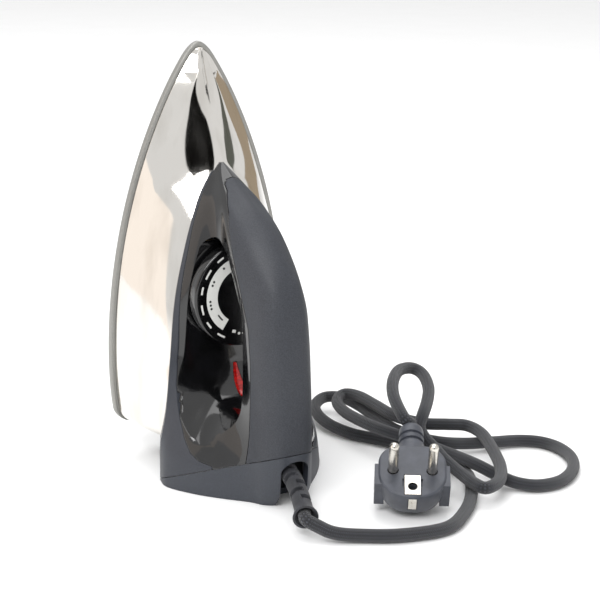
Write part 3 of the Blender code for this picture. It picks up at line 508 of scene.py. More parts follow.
@dataclass(frozen=True)
class Braid:
    """Textile braid over a round flex: crossing yarns with lighter flecks."""

    name: str
    dark: str
    light: str
    strands: int
    pitch_mm: float

    def make(self) -> bpy.types.Material:
        """Returns the material."""
        g = Graph(self.name)
        uv = g.add("SeparateXYZ", {0: g.add("UVMap", uv_map="along").outputs[0]}).outputs
        turn = g.math("MULTIPLY", uv[0], self.strands * math.pi)
        run = g.math("MULTIPLY", uv[1], math.pi / self.pitch_mm)
        left = g.math("SINE", g.math("ADD", turn, run))
        right = g.math("SINE", g.math("SUBTRACT", turn, run))
        weave = g.math("ABSOLUTE", g.math("MULTIPLY", left, right))
        over = g.math("MULTIPLY", left, right)
        fleck = g.ramp(over, 0.1, 0.8, 0.0, 1.0)
        fuzz = g.noise(0.5, 3.0)
        g.set(Base_Color=g.mix(g.math("MULTIPLY", fleck, g.ramp(fuzz, 0.35, 0.65, 0.3, 1.0)),
                               self.dark, self.light),
              Roughness=g.ramp(fuzz, 0.3, 0.7, 0.78, 0.95), Sheen_Weight=0.25,
              Sheen_Roughness=0.5,
              Normal=g.relief(g.math("ADD", weave, g.math("MULTIPLY", fuzz, 0.5)), 0.28))
        return g.material


@dataclass(frozen=True)
class Clear:
    """Clear or tinted moulding that light passes into, with faint flow lines and a painted glow: it can emit
    light in its own colour.
    """

    name: str
    colour: str
    deep: str
    transmission: float
    # strength of a painted glow: emission in the moulding's own colour
    painted_glow: float = 0.0

    def make(self) -> bpy.types.Material:
        """Returns the material."""
        g = Graph(self.name)
        flow = g.noise(1.6, 1.0, (1.0, 1.0, 2.2))
        colour = g.mix(g.ramp(flow, 0.35, 0.65, 0.0, 1.0), self.colour, self.deep)
        # the emission below is a painted glow, not light from a lamp
        g.set(Base_Color=colour, Roughness=g.ramp(flow, 0.3, 0.7, 0.06, 0.14), IOR=1.58,
              Transmission_Weight=self.transmission, Normal=g.relief(flow, 0.05, 0.3),
              Emission_Color=linear(self.colour), Emission_Strength=self.painted_glow)
        return g.material


@dataclass(frozen=True)
class Baked:
    """Unglazed ceramic or enamel: chalky, finely pitted."""

    name: str
    dark: str
    light: str
    roughness: float

    def make(self) -> bpy.types.Material:
        """Returns the material."""
        g = Graph(self.name)
        pits = g.noise(0.6, 4.0)
        g.set(Base_Color=g.mix(pits, self.dark, self.light), Roughness=self.roughness,
              Normal=g.relief(pits, 0.04, 0.2))
        return g.material


class Finishes:
    """Every finish of the iron, made once."""

    def __init__(self) -> None:
        kinds = {
            "aluminium": CastAluminium("sole_cast_aluminium", "#8b8a86", "#a5a4a0", 0.46),
            "steel": PolishedSteel("cover_chromed_steel", "#e4e1dc", "#cfcbc4", 0.055),
            "satin": Moulded("body_satin_phenolic", "#2a2d34", "#33363e", 0.40, 0.45, 0.010),
            "heel": Moulded("heel_satin_phenolic", "#2d3037", "#373b43", 0.44, 0.45, 0.012),
            "gloss": Moulded("saddle_gloss_thermoset", "#0b0b0c", "#111113", 0.10, 9.0, 0.02,
                             0.6, 0.6),
            "grip": Moulded("grip_spark_textured", "#27292f", "#34373e", 0.56, 0.55, 0.045, 0.5),
            "dial": Moulded("dial_gloss_thermoset", "#09090a", "#0f0f10", 0.13, 8.0, 0.02, 0.5,
                            0.5),
            "print": Baked("dial_silk_screen_white", "#cfd0cc", "#e6e6e2", 0.45),
            "print_dark": Baked("dial_silk_screen_black", "#121212", "#1b1b1b", 0.45),
            # the pilot lens gets a faint painted red glow; no lamp behind it is lit
            "lens": Clear("pilot_red_polycarbonate", "#c81410", "#7d0806", 0.35, 0.12),
            "lamp": Clear("lamp_soda_glass", "#f0d0b4", "#e0b894", 0.9),
            "relief": Rubber("relief_moulded_rubber", "#28292d", "#35363c", 0.55),
            "plug": Rubber("plug_moulded_pvc", "#3a3d45", "#494c55", 0.42),
            "braid": Braid("cord_textile_braid", "#1b1c20", "#474952", 12, 1.05),
            "nickel": Plated("pin_nickel_plate", "#dedad2", "#c2bcb0", 0.20),
            "zinc": Plated("fixing_zinc_plate", "#c3c4c2", "#9c9d99", 0.36),
            "sheath": Plated("element_heat_tinted_steel", "#6d625a", "#4a403c", 0.50),
            "brass": Plated("spindle_turned_brass", "#b9944f", "#8f6d36", 0.33),
            "copper": Plated("contact_copper_strip", "#bd7a55", "#8c553c", 0.34),
            "bimetal": Plated("thermostat_bimetal", "#968674", "#75685c", 0.40),
            "enamel": Baked("plate_black_enamel", "#1a1a1c", "#27272a", 0.55),
            "ceramic": Baked("block_steatite", "#cdc6b3", "#e0dacb", 0.70),
            "clamp": Moulded("clamp_polyamide", "#333335", "#3e3e41", 0.55, 0.6, 0.02, 0.2),
            "brown": Moulded("core_brown_silicone", "#4f2f1c", "#5d3823", 0.5, 0.6, 0.01, 0.1),
            "blue": Moulded("core_blue_silicone", "#1c3a72", "#254684", 0.5, 0.6, 0.01, 0.1),
            "green": Moulded("core_green_silicone", "#527020", "#688a2c", 0.5, 0.6, 0.01, 0.1),
        }
        self.made = {key: kind.make() for key, kind in kinds.items()}

    def __getitem__(self, key: str) -> bpy.types.Material:
        """Returns the material of that key."""
        return self.made[key]


def finish_piece(obj: bpy.types.Object, material: bpy.types.Material, body: Body,
                 nodes: Sequence[str] = ()) -> bpy.types.Object:
    """Dresses a piece and ties it to the frame.

    Args:
        obj: the piece.
        material: its finish.
        body: what it moves with.
        nodes: CAD nodes it stands for.
    Returns:
        The piece.
    """
    obj.data.materials.clear()
    obj.data.materials.append(material)
    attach(obj, body.value)
    if nodes:
        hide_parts(*nodes)
    LOG.info("%s: %d faces", obj.name, len(obj.data.polygons))
    return obj


# ------------------------------------------------------------------ soleplate and cover


@dataclass
class Soleplate:
    """The cast soleplate, pointed at the tip and rounded at the rear corners."""

    half_width: float = 52.1 * MM
    tip: float = 217 * MM
    run_on: float = 3 * MM
    rounding: float = 10 * MM
    widest: float = 54 * MM
    rear: float = 17.6 * MM
    corner: float = 9 * MM
    thick: float = 5.5 * MM
    levels: Rail = in_mm((0, 2.2), (0.4, 1.2), (1.0, 0.7), (1.8, 0.25), (2.6, 0), (4.7, 0),
                         (5.2, 0.25), (5.5, 0.8))

    def width(self, z: float, rear: Optional[float] = None, corner: Optional[float] = None,
              inset: float = 0.0) -> float:
        """Returns the half-width, drawn in by inset, of a plate with that rear edge and corner."""
        rear = self.rear if rear is None else rear
        corner = self.corner if corner is None else corner
        if z >= self.widest:
            s = (z - self.widest) / (self.tip + self.run_on - self.widest)
            nose = max(0.0, min(1.0, (z - self.tip + inset + self.rounding) / self.rounding))
            side = self.half_width * (1 - min(1.0, s * s)) ** 0.85 - inset
            return max(0.0, side) * math.sqrt(1 - nose**6)
        wide = self.half_width - 3 * MM * ((self.widest - z) / (self.widest - self.rear)) ** 2
        if z < rear + corner:
            wide -= corner - math.sqrt(max(0.0, corner**2 - (rear + corner - z) ** 2))
        return wide - inset

    def ring(self, level: float, inset: float) -> Ring:
        """Returns the outline at a level, drawn in by inset, its rear edge slightly bowed."""
        low, high = self.rear + inset, self.tip - inset
        share = [(1 - math.cos(k * math.pi / 20)) * self.corner / (self.tip - self.rear)
                 for k in range(10)]
        share += [1 - (1 - share[-1]) * (1 - k / 80) ** 2.2 for k in range(1, 80)]
        half = [(max(self.width(low + s * (high - low), inset=inset), 0.2 * MM),
                 low + s * (high - low)) for s in share]
        wide = half[0][0]
        bow = [(wide * (1 - k / 8), low - 1.5 * MM * (1 - (1 - k / 8) ** 2)) for k in range(8, 0, -1)]
        half = bow + half + [(0, high)]
        ring = half + [(-x, z) for x, z in reversed(half[1:-1])]
        return [at(x, level, z) for x, z in ring]

    def build(self, finishes: Finishes) -> None:
        """Builds and dresses the soleplate."""
        sole = loft("sole_casting", [self.ring(level, inset) for level, inset in self.levels])
        soften(sole, 25)
        finish_piece(sole, finishes["aluminium"], Body.IRON, ["soleplate"])


@dataclass
class Cover:
    """The pressed steel cover between the soleplate and the body."""

    sole: Soleplate
    inset: float = 2.4 * MM
    rear: float = 18.3 * MM
    wall: float = 1.0 * MM
    tip: float = 214.2 * MM
    crease: float = 12.2 * MM
    shoulder: Rail = in_mm(
        (18.3, 38.5, 44), (40, 37, 42.5), (60, 34, 40.5), (90, 29, 39), (110, 25, 38),
        (127, 20.5, 36.5), (141, 12.5, 34.3), (150, 6.5, 32), (158, 3.2, 29.5), (180, 1.6, 20.6),
        (204, 0.7, 10.6), (212, 0.35, 8.4))
    top: Rail = in_mm(
        (18.3, 0, 43), (40, 0, 41), (60, 0, 39.2), (100, 0, 38), (127, 0, 37), (141, 0, 35.6),
        (158, 0, 30.2), (182, 0, 20.2), (205, 0, 10.9), (212, 0, 8.6))
    draw: Rail = in_mm((18.3, 1.2), (90, 2.2), (130, 3.4), (160, 5.2), (185, 7.6), (200, 7.2),
                       (208, 4.4), (212, 2.2))

    def ring(self, z: float, grow: float) -> Ring:
        """Returns the section at a station, grown outwards, with its side curved."""
        corner = self.sole.corner - self.inset
        wide = self.sole.width(max(z, self.rear), self.rear, corner, self.inset)
        draw = smooth(self.draw, z)[0]
        shoulder, top = smooth(self.shoulder, z), smooth(self.top, z)[1]
        step = max(0.0, self.rear + corner - z)
        over_width = shoulder[0] - (corner - math.sqrt(max(0.0, corner**2 - step**2)))
        crease = min(self.crease, top - 0.25 * MM)
        rim = 5.85 * MM - (6 * MM if grow < 0 else 0) - max(grow, 0)
        wide = max(wide, 0.9 * MM)
        crease_width = max(wide - draw, 0.6 * MM)
        over = max(min(over_width, crease_width - 0.2 * MM), 0.3 * MM)
        bulge = 1.0 if crease_width - over > 3 * MM else 0.0
        half = [(max(wide + grow, 0.2 * MM), rim), (max(crease_width + grow, 0.18 * MM), crease + grow * 0.3)]
        for k in range(1, 8):
            t = k / 8
            arch = 4 * t * (1 - t) * bulge
            half.append((max(crease_width + (over - crease_width) * t + arch * 0.9 * MM
                             + grow * (1 - t / 2), 0.15 * MM),
                         crease + (shoulder[1] - crease) * t + arch * 0.6 * MM + grow * (0.3 + 0.7 * t)))
        half += [(max(over + grow * 0.5, 0.1 * MM), shoulder[1] + grow), (0, top + grow)]
        ring = [(-x, level) for x, level in reversed(half) if x > 1e-7] + half
        return [at(x, level, z) for x, level in ring]

    def stations(self, start: float, end: float, count: int) -> List[float]:
        """Returns stations from start to end, close together round the rear corners."""
        corner = self.sole.corner - self.inset
        rear = [start + corner * (1 - math.cos(k * math.pi / 16)) for k in range(9)]
        span = end - rear[-1]
        return rear + [end - span * (1 - k / count) ** 1.3 for k in range(1, count + 1)]

    def envelope(self) -> bpy.types.Object:
        """Returns the space that the body leaves for the cover."""
        return loft("cover_envelope", [self.ring(z, GAP) for z in
                    self.stations(self.rear, self.tip, 60)], split=True)

    def build(self, finishes: Finishes) -> None:
        """Builds and dresses the cover."""
        cover = loft("cover_pressing", [self.ring(z, 0) for z in
                     self.stations(self.rear, self.tip, 110)], split=True)
        tools = [loft("cover_inside", [self.ring(z, -self.wall) for z in
                      self.stations(self.rear + self.wall, 196 * MM, 40)], split=True),
                 lathe("cover_spindle_hole", at(0, 30 * MM, 95 * MM), Vector((0, -1, 0)),
                       [(0, 7 * MM), (22 * MM, 7 * MM)], 32, True),
                 box("cover_wire_window", Matrix.Translation(at(0, 45 * MM, 33 * MM)),
                     (40 * MM, 12 * MM, 16 * MM))]
        for station in (58 * MM, 148 * MM):
            tools.append(lathe("cover_stud_hole", at(0, 28 * MM, station), Vector((0, -1, 0)),
                               [(0, 2.85 * MM), (24 * MM, 2.85 * MM)], 20, True))
        cut(cover, [(tool, "DIFFERENCE") for tool in tools])
        discard(*tools)
        soften(cover, 24)
        finish_piece(cover, finishes["steel"], Body.IRON, ["cover"])


# ------------------------------------------------------------------ body and handle


@dataclass
class Handle:
    """Lower shell, black saddle round the finger opening, grip cover and heel cap."""

    cover: Cover
    foot: Rail = in_mm((0, 24), (20, 24), (90, 19), (125, 10), (159, 0.8))
    sides: Tuple[Rail, ...] = (
        in_mm((0, 44, 47), (15, 44, 47), (35, 40, 46), (60, 35.5, 42), (90, 31.5, 39.5),
              (120, 24, 37), (141, 15.5, 34), (152, 8, 31), (159, 1.6, 28.5)),
        in_mm((0, 45, 57), (15, 43.5, 56), (35, 36, 54), (50, 31, 50), (65, 27.5, 46.8),
              (95, 25.5, 46.2), (120, 21, 43.5), (141, 14, 38.5), (152, 7.2, 33), (159, 1.4, 29)),
        in_mm((0, 37, 71), (15, 35.5, 70), (35, 26, 66), (50, 20.5, 62), (70, 17, 60),
              (95, 15.5, 57), (120, 14.5, 51), (141, 12, 43.5), (152, 6.5, 35), (159, 1.3, 29.6)),
        in_mm((0, 27, 83), (15, 25, 82), (35, 18.5, 79), (60, 14.5, 76), (95, 14, 71),
              (120, 13.5, 60), (141, 11, 49), (152, 6, 37), (159, 1.2, 30.2)),
        in_mm((0, 17, 93), (15, 17, 91.5), (35, 15.5, 90), (60, 15, 89.5), (85, 15, 87),
              (108, 15, 77), (125, 14.2, 67), (141, 10.5, 53.5), (152, 5.5, 39), (159, 1, 30.8)),
        in_mm((0, 12.5, 99.5), (8, 14, 101), (35, 13.5, 101), (70, 13, 99.5), (95, 12.8, 96),
              (112, 12.5, 87), (128, 11.5, 74), (141, 9, 58.5), (152, 4.6, 41), (159, 0.8, 31.3)),
        in_mm((0, 7, 103), (8, 8, 107.5), (35, 8, 108.5), (70, 7.5, 106.5), (92, 7.5, 103.5),
              (108, 7.5, 98), (122, 7.3, 86), (134, 6.8, 72.5), (145, 4.8, 54), (153, 2.4, 41),
              (159, 0.5, 31.8)))
    crown: Rail = in_mm((0, 0, 104.5), (8, 0, 109), (20, 0, 110), (35, 0, 110), (70, 0, 107.7),
                        (90, 0, 105.3), (105, 0, 101), (118, 0, 93), (130, 0, 80.5), (140, 0, 66),
                        (148, 0, 51), (154, 0, 40.5), (159, 0, 32))
    saddle_line: Rail = in_mm((170, 26), (159, 29.3), (150, 32.6), (141, 35.6), (120, 39.4),
                              (90, 41.8), (62, 43.5), (50, 46.5), (42, 50), (34, 54.5),
                              (26, 60), (20, 66), (17, 71), (15.4, 77))
    part_line: Rail = in_mm((168, 46), (156, 42.4), (152.4, 41.4), (150.3, 43.6), (148, 47.6),
                            (144.8, 52), (139.5, 57.8), (127, 66.3), (110, 76.5), (88, 87),
                            (70, 89.5), (21, 90))
    deck: float = 45.5 * MM
    grip: float = 80.5 * MM
    bowl: float = 22 * MM
    opening_rear: float = 39 * MM
    opening_front: float = 130 * MM
    flare: Tuple[float, float, float] = (24 * MM, 12 * MM, 28 * MM)
    wall: float = 2.6 * MM
    seam_level: float = 50 * MM
    seam_slope: float = 0.43

    def ring(self, z: float, inset: float = 0.0, foot: float = 6 * MM, fine: int = 4) -> Ring:
        """Returns the section at a station, drawn in by inset, with rounded sides."""
        points = []
        for i, rail in enumerate(self.sides):
            width, level = smooth(rail, z)
            points.append(Vector((max(width - inset, 0.2 * MM), level - (inset * 0.6 if i > 4 else 0), 0)))
        points.append(Vector((0, smooth(self.crown, z)[1] - inset, 0)))
        mirror = Vector((-points[-2].x, points[-2].y, 0))
        side = through(points + [mirror], fine)[:(len(points) - 1) * fine + 1]
        foot_width = max(smooth(self.foot, z)[0] - inset, 0.25 * MM)
        half = [(foot_width, foot), ((foot_width + side[0].x) / 2, (foot + side[0].y) / 2)]
        half += [(max(p.x, 0.0), p.y) for p in side]
        half[-1] = (0.0, half[-1][1])
        ring = [(-x, level) for x, level in reversed(half) if x > 1e-7] + half
        return [at(x, level, z) for x, level in ring]

    def stations(self, count: int) -> List[float]:
        """Returns stations from the heel to the nose, closer together at the nose."""
        return [159 * MM * (1 - (1 - k / count) ** 1.25) for k in range(count + 1)]

    def outline(self, grow: float, flare: float) -> List[Tuple[float, float]]:
        """Returns the finger opening's outline, grown, its rear moved back by a flare."""
        g = grow
        return rounded([(self.opening_front + g, self.deck - 0.8 * MM - g, 6 * MM),
                        (self.opening_rear - flare - g, self.deck - g,
                         self.bowl + 1.1 * flare + g),
                        (self.opening_rear - 0.5 * MM - flare - g, self.grip + flare + g, 9 * MM),
                        (93 * MM, self.grip - 0.5 * MM + flare + g, 14 * MM),
                        (120 * MM + g, 63 * MM + 0.8 * g, 8 * MM)], 16)

    def opening(self, name: str, grow: float) -> bpy.types.Object:
        """Returns the finger opening through the body, its rear scooped back to both sides."""
        depth, start, run = self.flare
        half = [start + run * k / 14 for k in range(15)] + [60 * MM]
        rings = []
        for x in [-x for x in reversed(half)] + half:
            t = min(1.0, (abs(x) - start) / run)
            rings.append([at(x, level, station) for station, level in
                          self.outline(grow, depth * t * t * (3 - 2 * t))])
        return loft(name, rings, split=True)

    def seam(self, level: float, shift: float = 0.0) -> float:
        """Returns the station of the heel cap's seam at a level, moved up by shift."""
        return 2 * MM + self.seam_slope * (level - self.seam_level) + shift

    @staticmethod
    def shifted(line: Rail, distance: float) -> List[Tuple[float, float]]:
        """Returns the line moved square to itself, towards the handle for a positive distance."""
        out = []
        for i, (z, level) in enumerate(line):
            before, after = line[max(i - 1, 0)], line[min(i + 1, len(line) - 1)]
            along = Vector((after[0] - before[0], after[1] - before[1])).normalized()
            out.append((z + along.y * distance, level - along.x * distance))
        return out

    def regions(self) -> Dict[str, List[Tuple[float, float]]]:
        """Returns each piece's outline seen from the side."""
        far, low, top, half = 180 * MM, 2 * MM, 130 * MM, GAP / 2
        under, over = self.shifted(self.saddle_line, -half), self.shifted(self.saddle_line, half)
        inside, outside = self.shifted(self.part_line, -half), self.shifted(self.part_line, half)
        return {
            "body_shell": under + [(self.seam(under[-1][1], GAP), under[-1][1]),
                                   (self.seam(low, GAP), low), (far, low)],
            "saddle_panel": over + [(self.seam(over[-1][1] + GAP, GAP), over[-1][1] + GAP),
                                    (self.seam(inside[-1][1], GAP), inside[-1][1])]
            + list(reversed(inside)),
            "grip_cover": outside + [(self.seam(outside[-1][1], GAP), outside[-1][1]),
                                     (self.seam(top, GAP), top), (outside[0][0], top)],
            "heel_cap": [(self.seam(20 * MM), 20 * MM), (self.seam(top), top), (-40 * MM, top),
                         (-40 * MM, 20 * MM)]}

    def notch(self) -> bpy.types.Object:
        """Returns the space of the cord's notch in the heel cap."""
        w, top = 7.6 * MM, 24.5 * MM
        arch = [(w * math.cos(a), top - w * 0.75 + w * 0.75 * math.sin(a))
                for a in (math.pi * k / 16 for k in range(17))]
        outline = [(w, -4 * MM)] + arch + [(-w, -4 * MM)]
        return loft("heel_notch", [[at(x, level, z) for x, z in outline]
                                   for level in (92 * MM, 125 * MM)], split=True)

    def build(self, finishes: Finishes) -> None:
        """Builds and dresses the four mouldings."""
        lens = PilotLens(self)
        hollow = loft("body_hollow", [self.ring(z, self.wall, -4 * MM, 1) for z in
                      [3 * MM] + [z for z in self.stations(30) if 8 * MM < z < 153 * MM]],
                      split=True)
        walls = self.opening("body_walls", self.wall)
        cut(hollow, [(walls, "DIFFERENCE")])
        opening = self.opening("body_opening", 0)
        envelope, notch, window = self.cover.envelope(), self.notch(), lens.space()
        shaft = lathe("saddle_spindle_hole", at(0, 36 * MM, 95 * MM), Vector((0, -1, 0)),
                      [(0, 3.6 * MM), (16 * MM, 3.6 * MM)], 32, True)
        screw = lathe("heel_screw_hole", at(0, 64 * MM, -4 * MM), Vector((0, 0, 1)),
                      [(0, 3.6 * MM), (6.4 * MM, 3.6 * MM), (6.5 * MM, 2 * MM), (24 * MM, 2 * MM)],
                      32, True)
        extra = {"body_shell": [envelope, window], "saddle_panel": [envelope, window, shaft],
                 "grip_cover": [], "heel_cap": [notch, screw]}
        look = {"body_shell": ("satin", "body_satin"), "saddle_panel": ("gloss", "saddle_gloss"),
                "grip_cover": ("grip", "grip_textured"), "heel_cap": ("heel", "body_satin")}
        for name, outline in self.regions().items():
            foot = 6 * MM if name == "body_shell" else 20 * MM
            piece = loft(name + "_moulding", [self.ring(z, 0, foot) for z in self.stations(90)],
                         split=True)
            region = prism(name + "_region", outline, 70 * MM)
            cut(piece, [(region, "INTERSECT"), (opening, "DIFFERENCE"), (hollow, "DIFFERENCE")]
                + [(tool, "DIFFERENCE") for tool in extra[name]])
            discard(region)
            soften(piece, 30)
            finish, slot = look[name]
            finish_piece(piece, finishes[finish], Body.IRON, [name])
        discard(hollow, walls, opening, envelope, notch, window, shaft, screw)
        lens.build(finishes)


@dataclass
class PilotLens:
    """Teardrop window of the pilot light, set in the bowl of the saddle."""

    handle: Handle
    half_width: float = 2.3 * MM
    start: float = 12.0
    end: float = 62.0
    depth: float = 1.9 * MM

    @staticmethod
    def teardrop(t: float) -> float:
        """Returns the share of the width: narrow in front, fullest near the round rear end."""
        return 0.26 + 0.74 * math.sin(math.pi * min(1.0, 0.62 * t)) * math.sqrt(1 - 0.86 * t**10)

    def rings(self, grow: float, deep: float, proud: float, count: int = 30) -> List[Ring]:
        """Returns sections round the bowl, the inner face slightly domed."""
        h = self.handle
        centre = (h.opening_rear + h.bowl, h.deck + h.bowl)
        out = []
        for k in range(count + 1):
            t = k / count
            wide = self.half_width * self.teardrop(t) + grow
            spread = math.degrees(grow / h.bowl)
            angle = math.radians(self.start + (self.end - self.start) * t
                                 + (-spread if k == 0 else spread if k == count else 0))
            ring = []
            for x, reach in ((-wide, h.bowl - proud), (-0.5 * wide, h.bowl - proud - 0.2 * MM),
                             (0.5 * wide, h.bowl - proud - 0.2 * MM), (wide, h.bowl - proud),
                             (wide, h.bowl + deep), (-wide, h.bowl + deep)):
                ring.append(at(x, centre[1] - reach * math.cos(angle),
                               centre[0] - reach * math.sin(angle)))
            out.append(ring)
        return out

    def space(self) -> bpy.types.Object:
        """Returns the space of the lens, cut from the saddle and the shell."""
        return loft("lens_space", self.rings(GAP, 6 * MM, 6 * MM, 12), split=True)

    def build(self, finishes: Finishes) -> None:
        """Builds and dresses the lens."""
        lens = soften(loft("pilot_window", self.rings(0, self.depth, 0.0)), 40)
        finish_piece(lens, finishes["lens"], Body.IRON, ["pilot_lens"])


@dataclass
class Dial:
    """Round thermostat dial with its printed scale."""

    station: float = 95 * MM
    radius: float = 27 * MM
    height: float = 7.6 * MM
    base_level: float = 46.3 * MM
    band: Tuple[float, float] = (14.4 * MM, 20.6 * MM)
    band_angles: Tuple[float, float] = (110.0, 236.0)
    film: float = 0.05 * MM

    def spot(self, radius: float, angle: float, proud: float) -> Vector:
        """Returns the place on the dial's face at a radius and an angle in degrees."""
        a = math.radians(angle)
        return at(radius * math.cos(a), self.base_level + self.height + proud,
                  self.station + radius * math.sin(a))

    def patch(self, name: str, radii: Tuple[float, float], angles: Tuple[float, float],
              proud: float) -> bpy.types.Object:
        """Returns a thin ring sector printed on the face."""
        steps = max(4, round(abs(angles[1] - angles[0]) / 3))
        rings = []
        for k in range(steps + 1):
            a = angles[0] + (angles[1] - angles[0]) * k / steps
            rings.append([self.spot(r, a, p) for r, p in
                          ((radii[0], 0.01 * MM), (radii[1], 0.01 * MM), (radii[1], proud),
                           (radii[0], proud))])
        return loft(name, rings)

    def dot(self, name: str, radius: float, angle: float, size: float,
            proud: float) -> bpy.types.Object:
        """Returns a round printed dot."""
        base = self.spot(radius, angle, 0.01 * MM)
        return lathe(name, base, Vector((0, -1, 0)), [(0, size), (proud, size)], 20)

    def build(self, finishes: Finishes) -> None:
        """Builds and dresses the dial and its print."""
        base, out = at(0, self.base_level, self.station), Vector((0, -1, 0))
        r, h = self.radius, self.height
        lip = [(h - 1.2 * MM + 1.2 * MM * math.sin(a), r - 1.2 * MM + 1.2 * MM * math.cos(a))
               for a in (math.pi / 2 * k / 8 for k in range(9))]
        profile = [(0, r - 1.4 * MM), (0.4 * MM, r - 0.6 * MM), (0.9 * MM, r - 0.2 * MM),
                   (2.4 * MM, r)] + lip + [(h, r - 4 * MM), (h, r - 12 * MM), (h, 3 * MM)]
        dial = lathe("dial_moulding", base, out, profile, 96, True)
        socket = lathe("dial_socket", base - out * MM, out, [(0, 3.35 * MM), (6 * MM, 3.35 * MM)],
                       32, True)
        cut(dial, [(socket, "DIFFERENCE")])
        discard(socket)
        soften(dial, 35)
        finish_piece(dial, finishes["dial"], Body.DIAL, ["dial"])
        white = [self.patch("dial_band", self.band, self.band_angles, self.film),
                 self.patch("dial_bar", (18.6 * MM, 20.2 * MM), (252, 258), self.film)]
        white += [self.dot("dial_white_dot", 20.3 * MM, a, 0.75 * MM, self.film)
                  for a in (264, 271, 278)]
        white += [self.patch("dial_tick", (23.0 * MM, 24.0 * MM), (a, a + width), self.film)
                  for a, width in ((118, 10), (140, 13), (163, 10), (186, 13), (210, 10),
                                   (232, 12))]
        dark = [self.dot("dial_dot", 18.6 * MM, a, 0.62 * MM, 2 * self.film)
                for a in (126, 152, 158, 184, 190, 196)]
        dark.append(self.patch("dial_dash", (16.2 * MM, 17.0 * MM), (212, 226), 2 * self.film))
        for piece in white:
            finish_piece(piece, finishes["print"], Body.DIAL)
        for piece in dark:
            finish_piece(piece, finishes["print_dark"], Body.DIAL)


# ------------------------------------------------------------------ cord, relief and plug


@dataclass
class StrainRelief:
    """Moulded sleeve with half-ring slots on alternate sides and a flared mouth."""

    path: Tuple[Tuple[float, float, float], ...] = (
        (0, 80.5, 20.5), (0, 90, 20), (-0.6, 100, 18.2), (-2.4, 111, 15.8), (-5.4, 122, 13.4),
        (-9.2, 132, 11.4), (-12.8, 140.5, 10.2))
    radius: float = 4.6 * MM
    bell: float = 6.2 * MM
    bell_depth: float = 4.5 * MM
    slots: int = 6

    def route(self) -> List[Vector]:
        """Returns the centreline."""
        return through([at(x * MM, level * MM, z * MM) for x, level, z in self.path], 5)

    def exit(self) -> Tuple[Vector, Vector]:
        """Returns where the cord starts and the way it leaves."""
        route = self.route()
        ahead = (route[-1] - route[-2]).normalized()
        return route[-1] - ahead * (self.bell_depth - GAP), ahead

    def skin(self, share: float, angle: float) -> float:
        """Returns the radius at a share of the length and an angle."""
        if share < 0.10:
            return 7.0 * MM
        radius = self.radius + 0.5 * MM * max(0.0, 0.3 - share) / 0.3
        if share > 0.88:
            return radius + (self.bell - self.radius) * ((share - 0.88) / 0.12) ** 1.5
        if 0.26 < share < 0.86:
            place = (share - 0.26) / 0.60 * self.slots
            number, within = int(place), place - int(place)
            faces = math.cos(angle - (math.pi if number % 2 else 0))
            if 0.24 < within < 0.76 and faces > -0.25:
                radius -= 1.8 * MM
        return radius

    def build(self, finishes: Finishes) -> None:
        """Builds and dresses the sleeve."""
        line = evenly(self.route(), 0.35 * MM)
        sleeve = tube("relief_sleeve", line, self.skin, 48)
        start, ahead = self.exit()
        mouth = lathe("relief_mouth", start - ahead * GAP, ahead,
                      [(0, 3.55 * MM), (2.5 * MM, 4.0 * MM), (self.bell_depth, self.bell - 1.0 * MM),
                       (self.bell_depth + 4 * MM, self.bell - 1.0 * MM)], 40, True)
        cut(sleeve, [(mouth, "DIFFERENCE")])
        discard(mouth)
        soften(sleeve, 40)
        finish_piece(sleeve, finishes["relief"], Body.IRON, ["strain_relief"])


